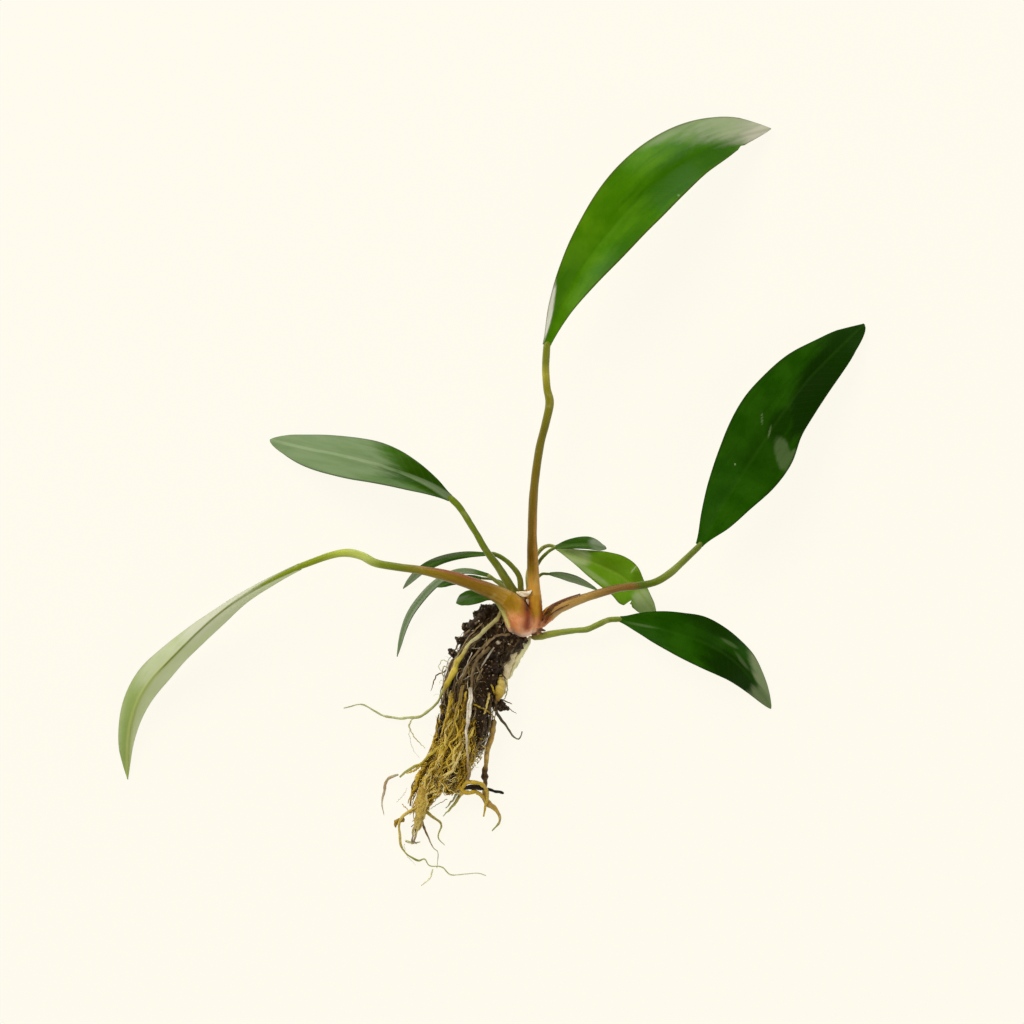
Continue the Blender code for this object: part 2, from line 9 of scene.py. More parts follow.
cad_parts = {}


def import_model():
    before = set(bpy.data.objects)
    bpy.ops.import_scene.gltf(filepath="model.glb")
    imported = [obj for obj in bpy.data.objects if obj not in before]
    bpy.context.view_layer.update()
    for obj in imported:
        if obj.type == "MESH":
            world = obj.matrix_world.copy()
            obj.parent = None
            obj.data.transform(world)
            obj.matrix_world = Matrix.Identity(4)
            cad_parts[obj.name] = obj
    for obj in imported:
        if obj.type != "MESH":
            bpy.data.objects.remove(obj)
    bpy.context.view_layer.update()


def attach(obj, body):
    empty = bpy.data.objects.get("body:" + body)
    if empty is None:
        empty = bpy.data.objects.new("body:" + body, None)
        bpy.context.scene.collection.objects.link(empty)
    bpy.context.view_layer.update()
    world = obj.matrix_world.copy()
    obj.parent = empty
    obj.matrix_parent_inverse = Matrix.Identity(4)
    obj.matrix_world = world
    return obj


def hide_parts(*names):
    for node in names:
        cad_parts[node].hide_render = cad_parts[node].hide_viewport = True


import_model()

mm = 0.001
planOrigin = np.array([0.65, -1.40, 0.0])   # the lists below are in mm, measured before this shift
floorLevel = 0.02                           # mm, the lowest that any modelled point goes
up = np.array([0.0, 0.0, 1.0])
tiny = 1e-9                                 # keeps lengths that are divided by from being 0
fullTurn = 2 * math.pi


# Small helpers for colours, nodes and meshes

def hexLinear(text):
    values = [int(text[i:i + 2], 16) / 255 for i in (1, 3, 5)]
    return [v / 12.92 if v <= 0.04045 else ((v + 0.055) / 1.055) ** 2.4 for v in values]


# plain words for the nodes used most: kind, settings, inputs in order with usual values, output
nodeWords = {
    "ramp": ("ShaderNodeMapRange", {"interpolation_type": "SMOOTHSTEP"},
        {"Value": None, "From Min": None, "From Max": None, "To Min": 0.0, "To Max": 1.0}, 0),
    "blend": ("ShaderNodeMix", {"data_type": "RGBA"}, {0: None, 6: None, 7: None}, 2),
    "stain": ("ShaderNodeMix", {"data_type": "RGBA", "blend_type": "MULTIPLY"},
        {0: None, 6: None, 7: None}, 2),
    "noise": ("ShaderNodeTexNoise", {}, {"Vector": None, "Scale": None, "Detail": 3.0, "Roughness": 0.55}, 0),
    "cells": ("ShaderNodeTexVoronoi", {}, {"Vector": None, "Scale": None}, "Distance"),
    "attribute": ("ShaderNodeAttribute", {}, {}, "Fac"),
    "place": ("ShaderNodeTexCoord", {}, {}, "Object"),
    "vector": ("ShaderNodeCombineXYZ", {}, {0: None, 1: None, 2: None}, 0),
    "stretch": ("ShaderNodeMapping", {}, {"Vector": None, "Scale": None}, 0),
    "stops": ("ShaderNodeValToRGB", {}, {"Fac": None}, 0),
    "relief": ("ShaderNodeBump", {}, {"Height": None, "Strength": None, "Distance": None}, 0),
    "random": ("FunctionNodeRandomValue", {"data_type": "FLOAT_VECTOR"}, {0: None, 1: None, 8: None}, 0),
}
for word, operation in {"times": "MULTIPLY", "plus": "ADD", "minus": "SUBTRACT", "over": "DIVIDE",
        "size": "ABSOLUTE", "sine": "SINE"}.items():
    nodeWords[word] = ("ShaderNodeMath", {"operation": operation}, {0: None, 1: 0.0}, 0)


def node(tree, word, *values, **settings):
    # adds one node by its word, or by its kind and a dictionary of inputs, and gives back an output;
    # an input is another node's output, a plain value or a colour as sRGB hex
    kind, fixed, inputs, output = nodeWords.get(word, (word, {}, {}, 0))
    item = tree.nodes.new(kind)
    for key, value in {**fixed, **settings}.items():
        setattr(item, key, value)
    given = values[0] if values and isinstance(values[0], dict) else {**inputs, **dict(zip(inputs, values))}
    for name, value in given.items():
        if isinstance(value, bpy.types.NodeSocket):
            tree.links.new(value, item.inputs[name])
        elif isinstance(value, str) and value.startswith("#"):
            item.inputs[name].default_value = (*hexLinear(value), 1.0)
        elif value is not None:
            item.inputs[name].default_value = value
    return item.outputs[output] if item.outputs else None


def newMaterial(name):
    # an empty material, and what adds nodes to it
    material = bpy.data.materials.new(name)
    material.use_nodes = True
    material.node_tree.nodes.clear()
    return material, partial(node, material.node_tree)


def setStops(colours, stops):
    elements = colours.node.color_ramp.elements
    while len(elements) < len(stops):
        elements.new(0.5)
    for element, (at, text) in zip(elements, stops):
        element.position = at
        element.color = (*hexLinear(text), 1.0)
    return colours


def layered(add, colour, *layers):
    # lays colours over a colour, each with its share
    for share, tint in layers:
        colour = add("blend", share, colour, tint)
    return colour


def coat(add, colour, relief, gloss):
    # the outer skin that ends most materials
    shader = add("ShaderNodeBsdfPrincipled", {"Base Color": colour, "Normal": relief, **gloss})
    add("ShaderNodeOutputMaterial", {"Surface": shader})


def addPiece(name, mesh):
    piece = bpy.data.objects.new(name, mesh)
    bpy.context.collection.objects.link(piece)
    return piece


def meshPiece(name, points, faces, material, values):
    # points in list millimetres; becomes an object at the origin, in metres
    mesh = bpy.data.meshes.new(name)
    places = (np.asarray(points, dtype=float) - planOrigin) * mm
    places[:, 2] = np.maximum(places[:, 2], floorLevel * mm)
    mesh.from_pydata(places.tolist(), [], faces)
    for key, column in values.items():
        layer = mesh.attributes.new(key, "FLOAT", "POINT")
        layer.data.foreach_set("value", np.asarray(column, dtype=np.float32))
    mesh.materials.append(material)
    mesh.shade_smooth()
    mesh.update()
    return addPiece(name, mesh)


def place(piece, slotName, *nodes):
    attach(piece, "root")
    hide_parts(*nodes)


# Smooth curves through listed points, the same as the solids follow

def bend(a, b, c, d, t):
    # a Catmull-Rom span from b to c
    return b + 0.5 * ((c - a) * t + (2 * a - 5 * b + 4 * c - d) * t ** 2 + (3 * b - a - 3 * c + d) * t ** 3)


def evenSteps(points, count, perSpan=24):
    # a route through the points at even steps
    p = np.asarray(points, dtype=float)
    padded = np.vstack([2 * p[0] - p[1], p, 2 * p[-1] - p[-2]])
    t = (np.arange(perSpan) / perSpan)[:, None]
    spans = [bend(*four, t) for four in zip(padded, padded[1:], padded[2:], padded[3:])]
    route = np.vstack([*spans, p[-1:]])
    lengths = np.concatenate([[0.0], np.cumsum(np.linalg.norm(np.diff(route[:, :3], axis=0), axis=1))])
    goals = np.linspace(0.0, lengths[-1], count)
    return np.stack([np.interp(goals, lengths, column) for column in route.T], axis=1)


def readList(values, shares):
    v = np.asarray(values, dtype=float)
    where = np.clip(shares, 0.0, 1.0) * (len(v) - 1)
    i = np.minimum(where.astype(int), len(v) - 2)
    return bend(v[np.maximum(i - 1, 0)], v[i], v[i + 1], v[np.minimum(i + 2, len(v) - 1)], where - i)


def unit(vectors):
    return vectors / np.maximum(np.linalg.norm(vectors, axis=-1, keepdims=True), tiny)


def directions(points):
    return unit(np.vstack([points[1:], points[-1:]]) - np.vstack([points[:1], points[:-1]]))


def pathLength(points):
    return np.linalg.norm(np.diff(points[:, :3], axis=0), axis=1).sum()


# Tubes: many stems, roots or strands gathered into one mesh

class Tubes:
    # both ends are rounded: a narrower last ring, how far out it lies, and how far out its pole lies
    endSize, endReach, poleReach = 0.62, 0.6, 0.55

    def __init__(self):
        self.points = []
        self.faces = []
        self.values = {"share": [], "tone": [], "flank": [], "around": []}

    def add(self, route, radii, tone=0.5, sides=8, flankWay=(0.35, 0.9, 0.25), oval=None):
        # flank says how far a point faces flankWay; oval shapes the section
        route = np.asarray(route, dtype=float)[:, :3]
        radii = np.broadcast_to(np.asarray(radii, dtype=float), (len(route),))
        along = directions(route)
        side = np.cross(along[0], up)
        if np.linalg.norm(side) < 0.1:
            side = np.array([1.0, 0.0, 0.0])
        reach = self.endReach
        centres = [route[0] - along[0] * radii[0] * reach, *route, route[-1] + along[-1] * radii[-1] * reach]
        sizes = [radii[0] * self.endSize, *radii, radii[-1] * self.endSize]
        ways = [along[0], *along, along[-1]]
        first = len(self.points)
        turns = fullTurn * np.arange(sides) / sides
        way = np.asarray(flankWay) / np.linalg.norm(flankWay)
        count = len(centres)
        for k, (centre, size, toward) in enumerate(zip(centres, sizes, ways)):
            side = side - toward * np.dot(side, toward)
            side = side / max(np.linalg.norm(side), tiny)
            wide = np.outer(np.cos(turns), side) + np.outer(np.sin(turns), np.cross(side, toward))
            scale = size if oval is None else size * oval(k / (count - 1), turns)[:, None]
            self.points.extend(centre + wide * scale)
            self.remember(k / (count - 1), tone, wide @ way, turns / fullTurn)
        for low in range(first, first + (count - 1) * sides, sides):
            for i in range(sides):
                j = (i + 1) % sides
                self.faces.append((low + i, low + j, low + sides + j, low + sides + i))
        pole = self.poleReach
        self.close(centres[0] - ways[0] * sizes[0] * pole, first, sides, 0.0, tone)
        self.close(centres[-1] + ways[-1] * sizes[-1] * pole, first + (count - 1) * sides, sides, 1.0, tone)

    def remember(self, share, tone, flanks, around):
        for key, values in (("share", [share] * len(flanks)), ("tone", [tone] * len(flanks)),
                ("flank", flanks), ("around", around)):
            self.values[key].extend(values)

    def close(self, pole, first, sides, share, tone):
        # share is 0 at the start of a tube and 1 at its end
        self.points.append(pole)
        self.remember(share, tone, [0.0], [0.0])
        last = len(self.points) - 1
        for i in range(sides):
            here, following = first + i, first + (i + 1) % sides
            self.faces.append((last, following, here) if share == 0 else (last, here, following))

    def piece(self, name, material):
        return meshPiece(name, self.points, self.faces, material, self.values)


# Leaves: stalk route (x, y, z, diameter), midrib route, and at equal steps along the midrib
# the half widths seen from above and how far each margin rises above the midrib.
# pale patches of painted sheen, where the wet skin's reflection is painted into its colour, and deeper
# green patches are each listed as an ellipse seen from above:
# (x, y, half length, half width, turn in degrees, strength, softness of its edge)

leaves = {
    "tall": dict(
        stalk=[(13.8, -37, 12.4, 3.9), (13.6, -32, 13, 3.9), (13.1, -26.5, 13.4, 3.8),
            (12.7, -18.4, 14.5, 3.3), (12.6, -9.5, 16, 2.8), (13.1, 2.3, 18, 2.6), (14.7, 14.4, 20, 2.4),
            (16.5, 21.8, 21.3, 2.4), (17.7, 27.9, 22.3, 2.5), (16.9, 32.3, 23, 2.3),
            (16.5, 38.2, 24, 2.2), (16.8, 44.3, 25, 2.1)],
        midrib=[(20.7, 56.5, 28), (27.4, 68.1, 30), (35.9, 79, 30.5), (45.7, 89.9, 28.5),
            (57.8, 99.3, 23), (70.2, 105.9, 14), (84.2, 110.7, 2)],
        left=[1.2, 2.8, 5.2, 7.7, 9.8, 10.9, 11.3, 10.6, 8.8, 5.6, 0.5],
        right=[1, 3.5, 5.8, 7.5, 8.3, 8.8, 7.9, 6.3, 4.8, 2.4, 0.5],
        riseLeft=[0, 2, 0.5, -2.5, -5, -5, 0],
        riseRight=[0, 3, 4.5, 4, 2.5, 0.5, 0],
        look="bright", blunt=(0.9, 0.8), groove=0.05, swell=0.01, tears=[(0.868, 0.014, 0.16, 1)],
        film=[(83, 110.5, 12.5, 6, 0, 1.08, 0.95), (71, 113, 17, 7, 8, 0.42, 0.7),
            (55, 109.6, 10, 2.4, 30, 0.28, 0.8), (17.2, 54.5, 9, 1.2, 79, 1.7, 0.5)],
        dark=[(56, 94.5, 17, 6.4, 35, 0.85, 0.9), (39.8, 72.7, 14, 2.6, 50, 0.65, 0.9),
            (66, 101.5, 10, 3.4, 28, 0.8, 0.8), (31, 60.5, 9, 1.6, 55, 0.4, 0.9)]),
    "right": dict(
        stalk=[(16.4, -36.3, 8.3, 3.8), (19.1, -33.4, 11.7, 3.9), (22.6, -31.6, 14.5, 3.4),
            (27.3, -29.9, 16.6, 2.7), (32.9, -28.1, 18.4, 2.5), (38.5, -26.6, 19.6, 2.3),
            (44.3, -25.9, 20.6, 2.2), (49, -24.8, 21.3, 2.2), (53.1, -22.3, 22, 2.2),
            (57.2, -18.6, 22.7, 2), (61.6, -14.4, 23.3, 1.8)],
        midrib=[(67.2, -4.2, 24), (73.8, 6, 23.5), (80, 15.2, 21.5), (86.6, 25.1, 18.5), (94.3, 34.8, 14),
            (103.1, 43.7, 8.5), (112.1, 52.2, 1.5)],
        left=[1.3, 4.1, 7.2, 9.6, 11.4, 11.9, 11, 9.5, 6.9, 4.2, 0.5],
        right=[0.8, 5.2, 7.7, 9.9, 10.3, 8.5, 7.8, 7, 5.8, 4, 0.5],
        riseLeft=[0, 1, 2, 2.5, 2, 1, 0],
        riseRight=[0, 0.5, 1, 0.5, 0.5, 0.5, 0],
        look="deep", blunt=(0.95, 0.45), groove=0.06, swell=0.02,
        film=[(86.6, 12.6, 5.4, 2.3, 105, 0.3, 0.45), (80.4, 23.2, 2.2, 0.3, 92, 0.5, 0.5),
            (82.7, 19.6, 2.2, 0.34, 75, 0.5, 0.5), (89.6, 12, 2.4, 1.2, 70, 0.3, 0.5)],
        dark=[(99.5, 33, 19, 8, 56, 1, 0.35), (106.5, 44.5, 11, 7, 50, 0.75, 0.6),
            (86, 22, 6, 3.2, 60, 0.8, 0.5)]),
    "upper_left": dict(
        stalk=[(8.5, -30.6, 11.5, 2.9), (6.5, -27, 13.2, 2.8), (4.4, -23.5, 15, 2.5),
            (2.2, -20, 16.5, 2.3), (0.1, -17.2, 18, 2.1), (-1.9, -14.2, 19.2, 2), (-3.6, -11.1, 20, 1.9),
            (-5.4, -8.2, 21, 1.9), (-7.5, -4.8, 22, 1.9), (-9.3, -2.3, 22.6, 2), (-11.2, -0.4, 23, 1.9)],
        midrib=[(-17.5, 3.7, 25), (-24.8, 7, 25.5), (-33.7, 10, 23.5), (-44.2, 12.6, 18.5),
            (-55, 14.8, 11.5), (-65.9, 17.4, 3)],
        left=[1.1, 2.6, 4, 4.9, 5.6, 6.1, 6.1, 5.7, 4.7, 3, 0.4],
        right=[0.9, 2.6, 4.5, 6, 6.6, 6.3, 5.7, 5, 4, 2.7, 0.4],
        riseLeft=[0, 2, 4, 5, 4.5, 2.5, 0],
        riseRight=[0, 0, -2.5, -5, -6, -4, 0],
        look="silver", blunt=(0.55, 0.7), groove=0.1, swell=0.04,
        film=[(-51.5, 14, 22.5, 9.5, -15, 0.88, 0.4), (-62, 15.5, 12, 7, -15, 1.05, 0.9),
            (-30.6, 4.4, 15, 1.4, -16, 0.45, 0.8), (-17.4, 0.4, 8, 0.7, -27, 0.28, 0.9)],
        dark=[(-17, 5.2, 12, 3.4, -32, 1, 0.7), (-27, 7, 14, 1.6, -19, 0.8, 0.7)]),
    "long_left": dict(
        stalk=[(9.8, -39.4, 14.7, 6.2), (8.9, -34.1, 17.6, 6.2), (6, -30.5, 19.8, 5.4),
            (1.6, -28.1, 21, 4.7), (-4.3, -25.7, 22, 4), (-11.7, -23.2, 23, 3.4), (-19.9, -21.4, 24, 2.6),
            (-26.9, -20.4, 25, 2.3), (-33.4, -19.2, 26, 2.5), (-37.5, -17.1, 26.8, 2.5),
            (-41.8, -16.2, 27.2, 2.4), (-46.8, -17, 27.4, 2.1), (-55.2, -20, 27.2, 1.8)],
        midrib=[(-63, -23.6, 27.5), (-70.4, -27.7, 27), (-77.8, -32.7, 26), (-85.4, -39.1, 24),
            (-94.6, -48.1, 20), (-100.9, -54.8, 16.5), (-105.1, -62, 12.5), (-107.5, -70.8, 7.8),
            (-108.6, -84.4, 0.6)],
        left=[1, 1.7, 2.2, 3.2, 3.4, 3.3, 3.8, 3.2, 2.1, 0.9, 0.4],
        right=[0.9, 1, 1.3, 1.9, 3.1, 4.3, 5, 4.8, 4.1, 3, 0.4],
        riseLeft=[0, -1.5, -4.5, -6, -6, -4, 0],
        riseRight=[0, -1.5, -5, -7, -7, -5, 0],
        look="pale", blunt=(0.85, 0.85), groove=0.3, tailLift=0.6,
        film=[(-78, -31.5, 22, 4.4, 37, 0.92, 0.95), (-84.5, -47.5, 26, 2.6, 48, 0.45, 0.95),
            (-97, -48.5, 9, 5, 50, 0.45, 0.95)],
        dark=[(-107.2, -72, 18, 4, 85, 1, 0.9),
            (-62, -24, 9, 1.6, 28, 0.6, 0.8)]),
    "low_right": dict(
        stalk=[(13.2, -41.5, 6.4, 2), (15.7, -41.2, 7, 2.2), (18, -40.6, 8.3, 2.1), (21.5, -40, 8.8, 1.9),
            (25.7, -39.5, 8.6, 1.7), (28.9, -39.2, 8.6, 1.8), (31.9, -37.9, 8.9, 1.8),
            (35.2, -36.4, 9.3, 1.7), (38.2, -36.1, 9.8, 1.6)],
        midrib=[(47.6, -37.9, 12.5), (56.4, -40.4, 14), (65.4, -43.8, 13.5), (73, -48.8, 10.5),
            (79.2, -55.6, 6), (84.3, -63.2, 0.8)],
        left=[0.8, 3, 4.9, 6.2, 7.2, 6.8, 6.1, 5.4, 4, 2.4, 0.4],
        right=[0.8, 2.7, 4.6, 5.9, 6.8, 7, 6.4, 5.2, 3.8, 2.3, 0.4],
        riseLeft=[0, 0.5, 0.5, -0.5, -2.5, -2.5, 0],
        riseRight=[0, 1, 2, 2.5, 2, 1, 0],
        look="deep", blunt=(0.75, 0.75), groove=0.08, swell=0.04,
        film=[(83, -54, 12.5, 3.4, -67, 1.1, 0.45), (81.5, -60.5, 5, 4, -60, 0.75, 0.6),
            (71.2, -43.2, 2.6, 0.5, -30, 0.3, 0.9), (75, -48.4, 3, 0.5, -52, 0.3, 0.9),
            (45, -37.8, 4, 0.35, -10, 0.3, 0.9)],
        dark=[(73.2, -54.1, 13.4, 5, -45, 0.9, 0.6),
            (66.9, -38, 12, 2.6, -25, 0.7, 0.7)]),
    "small_dark": dict(
        stalk=[(12.4, -29, 8.7, 1.7), (12.4, -24, 9, 1.3), (14.7, -19, 9.4, 1.1), (17.2, -16.2, 9.8, 1),
            (19.2, -14.9, 10, 0.9)],
        midrib=[(24.5, -14, 11.2), (29.2, -14, 11), (34.8, -15.2, 8)],
        left=[0.5, 1, 1.5, 1.9, 2.2, 2.4, 2.5, 2.3, 1.8, 1.1, 0.3],
        right=[0.5, 0.6, 0.8, 0.9, 1, 1.1, 1.1, 1.1, 1, 0.8, 0.3],
        riseLeft=[0, 0.2, -0.4, -0.8, -1, -0.6, 0],
        riseRight=[0, 0.4, 0.6, 0.6, 0.4, 0.2, 0],
        look="young", blunt=(0.45, 0.8),
        film=[(33.4, -13.6, 3.4, 3, 0, 0.85, 0.6)],
        dark=[(25, -13.6, 7, 2.4, 0, 0.6, 0.8)]),
    "torn": dict(
        stalk=[(11.8, -29, 5.9, 1.7), (11.4, -22.4, 6.2, 1.4), (13.8, -17.3, 6.8, 1.3),
            (15.8, -14.9, 7.1, 1.2), (17.8, -14.2, 7.1, 1.1), (19.5, -14.7, 7, 1.1)],
        midrib=[(26.9, -17.9, 7.6), (33.7, -20.6, 7.8), (39.4, -23.6, 7.4), (44.2, -27.8, 5.8),
            (47.3, -31.4, 4), (49.9, -35.2, 1.6)],
        left=[0.6, 1.3, 2.5, 3.7, 4.8, 5.5, 5.2, 3.5, 2.2, 1.4, 0.4],
        right=[0.6, 1.4, 2.5, 4, 5.1, 5.8, 6.1, 6.4, 4.6, 3.6, 0.6],
        riseLeft=[0, 0.8, 1.4, 1.6, 1.2, 0.6, 0],
        riseRight=[0, 0.5, 1, 1.2, 1, 0.5, 0],
        look="fresh", tears=[(0.75, 0.014, 0.55, 1), (0.775, 0.03, 0.2, 1)],
        film=[(24.8, -16.8, 5, 3, -25, 0.75, 0.5), (47.2, -31.2, 4.4, 4.2, -50, 0.8, 0.6),
            (30, -22.4, 6, 0.8, -35, 0.4, 0.8), (43, -21, 1.9, 0.3, 58, 0.95, 0.4)],
        dark=[(44.8, -24.5, 3, 2, -60, 0.8, 0.6), (36, -19.4, 5, 2, -20, 0.4, 0.8)]),
    "narrow_right": dict(
        stalk=[(13.4, -29, 4.3, 1.2), (13.4, -25.5, 4.4, 1), (15.3, -22.9, 4.5, 0.9),
            (17.4, -22.7, 4.6, 0.8)],
        midrib=[(21.5, -23.3, 5), (25.4, -24.4, 4.5), (29, -26, 3), (32.3, -27.6, 1)],
        left=[0.4, 0.7, 0.9, 1, 1, 1, 0.9, 0.8, 0.6, 0.4, 0.3],
        right=[0.4, 0.7, 0.9, 1.1, 1.2, 1.1, 1, 0.8, 0.6, 0.4, 0.3],
        riseLeft=[0, 0.6, 1, 0.8, 0.4, 0],
        riseRight=[0, -0.4, -0.8, -0.6, -0.2, 0],
        look="young",
        film=[(26, -24.8, 8.5, 1.3, -16, 0.8, 0.7)],
        dark=[]),
    "back_left": dict(
        stalk=[(9.3, -29, 8.7, 1.9), (8.8, -23.6, 9.2, 1.7), (6.3, -20, 10, 1.5), (3.6, -17.8, 10.6, 1.4),
            (1.2, -16.7, 11, 1.3), (-0.4, -16.7, 11.2, 1.2)],
        midrib=[(-5.9, -16.8, 12), (-11.2, -17.6, 11.6), (-16, -19.1, 9.8), (-20.3, -21.5, 7),
            (-23.3, -24.2, 3.8), (-26.1, -27.2, 0.8)],
        left=[0.5, 0.8, 1, 1.1, 1.2, 1.3, 1.3, 1.2, 1, 0.7, 0.3],
        right=[0.5, 0.6, 0.8, 0.9, 1, 1.1, 1.2, 1.1, 1, 0.7, 0.3],
        riseLeft=[0, -0.4, -0.8, -0.8, -0.4, 0],
        riseRight=[0, 0.6, 1.2, 1, 0.6, 0],
        look="young",
        film=[(-13, -17.2, 10, 0.7, 12, 0.7, 0.8), (-24.6, -25.6, 5, 2.2, 50, 1.1, 0.7)],
        dark=[(-10, -18, 6, 1.2, 8, 0.8, 0.8)]),
    "droop_left": dict(
        stalk=[(8.3, -28.7, 6, 1.4), (5.2, -27.2, 6.8, 1.3), (2.4, -25.2, 8, 1.2),
            (-0.1, -23.3, 9.2, 1.1)],
        midrib=[(-5.9, -21.6, 10.6), (-10.4, -22, 10.6), (-14.8, -24.3, 9.3), (-19.3, -28.5, 7.3),
            (-23.6, -34.2, 5.1), (-26.2, -40.3, 2.9), (-27.9, -47.6, 0.6)],
        left=[0.5, 0.8, 0.9, 1, 1, 1, 1, 0.9, 0.8, 0.6, 0.3],
        right=[0.5, 0.6, 0.7, 0.8, 1, 1.1, 1.1, 1, 0.8, 0.5, 0.3],
        riseLeft=[0, 0.6, 1, 1, 0.6, 0],
        riseRight=[0, -0.4, -0.8, -0.8, -0.4, 0],
        look="young",
        film=[(-17, -30, 24, 7, 55, 0.95, 0.3)],
        dark=[]),
    "tip_left": dict(
        stalk=[(9.8, -28.6, 4.6, 1.1), (5.6, -26, 4.6, 0.9), (1.2, -24.4, 4.6, 0.8),
            (-2.2, -24, 4.6, 0.8)],
        midrib=[(-6.5, -24.1, 5), (-11.3, -24.9, 4), (-16, -26.7, 1.4)],
        left=[0.4, 0.9, 1.2, 1.3, 1.3, 1.2, 1.1, 1, 0.9, 0.6, 0.3],
        right=[0.4, 0.7, 0.9, 1, 0.9, 0.8, 0.8, 0.8, 0.8, 0.6, 0.3],
        riseLeft=[0, 0.2, 0.4, 0.2, 0],
        riseRight=[0, 0.4, 0.6, 0.4, 0],
        look="young",
        film=[],
        dark=[(-10, -25, 6, 1.6, 15, 0.6, 0.8)]),
    "stub_left": dict(
        stalk=[(7.3, -40.9, 10.3, 1.7), (5.4, -37, 11.8, 1.6), (3.8, -33.4, 11.8, 1.6),
            (2.4, -31.2, 12, 1.5), (1, -30.1, 12, 1.3)],
        midrib=[(-2.9, -29.3, 12), (-6.5, -29.8, 10.5), (-10.1, -31.4, 8)],
        left=[0.6, 0.8, 1.4, 1.8, 2, 2.1, 2.1, 2, 1.6, 1.2, 0.4],
        right=[0.6, 1.1, 1.4, 1.8, 1.9, 2, 2.1, 1.9, 1.7, 1.1, 0.4],
        riseLeft=[0, 0.5, 0.8, 0.5, 0],
        riseRight=[0, 0.3, 0.5, 0.3, 0],
        look="young",
        film=[(-9, -30.2, 3, 0.8, 20, 0.6, 0.8)],
        dark=[]),
}

bigLeaves = ("tall", "right", "upper_left", "long_left", "low_right")

# Leaf greens: a shaded tone, the main tone, a lit tone, the pale painted sheen, the midrib, the margin,
# the underside; ribShare and veins say how far midrib and side veins show, glow how much light passes
leafLooks = {
    "bright": dict(deep="#2c5e00", main="#467c02", lit="#56890a", film="#cdcbb4", rib="#356c08",
        margin="#4a4614", under="#7f9c4e", ribShare=0.14, veins=0.02, glow=0.06),
    "deep": dict(deep="#122d00", main="#1f4c00", lit="#295804", film="#7f8f62", rib="#3c661a",
        margin="#1c3008", under="#5d7f40", ribShare=0.14, veins=0.02, glow=0.03),
    "silver": dict(deep="#284a00", main="#335a04", lit="#406a10", film="#7f9468", rib="#a0b486",
        margin="#46503a", under="#7d9a5e", ribShare=0.45, veins=0.02, glow=0.05),
    "pale": dict(deep="#9ab05c", main="#b0c27c", lit="#c0d090", film="#e0e1cc", rib="#79861e",
        margin="#a6ae96", under="#c3d096", ribShare=0.85, veins=0.03, glow=0.26, ribWide=0.42,
        # the last value: how far the lower flank is painted lighter (painted light)
        ribFade=(0.5, 0.74), crease=0.45, paintedLightFlank=0.6),
    "fresh": dict(deep="#587e0a", main="#6ea214", lit="#84b42e", film="#b9c890", rib="#97b53c",
        margin="#5a6412", under="#8fb068", ribShare=0.3, veins=0.04, glow=0.12),
    "young": dict(deep="#284c0a", main="#3f6818", lit="#527826", film="#8f9c80", rib="#607e3c",
        margin="#34401c", under="#7e9468", ribShare=0.5, veins=0.03, glow=0.06),
}
leafGrain = dict(mottle=130.0, patches=42.0, streak=0.55, streakLong=0.07, breakUp=0.75, specks=190.0)


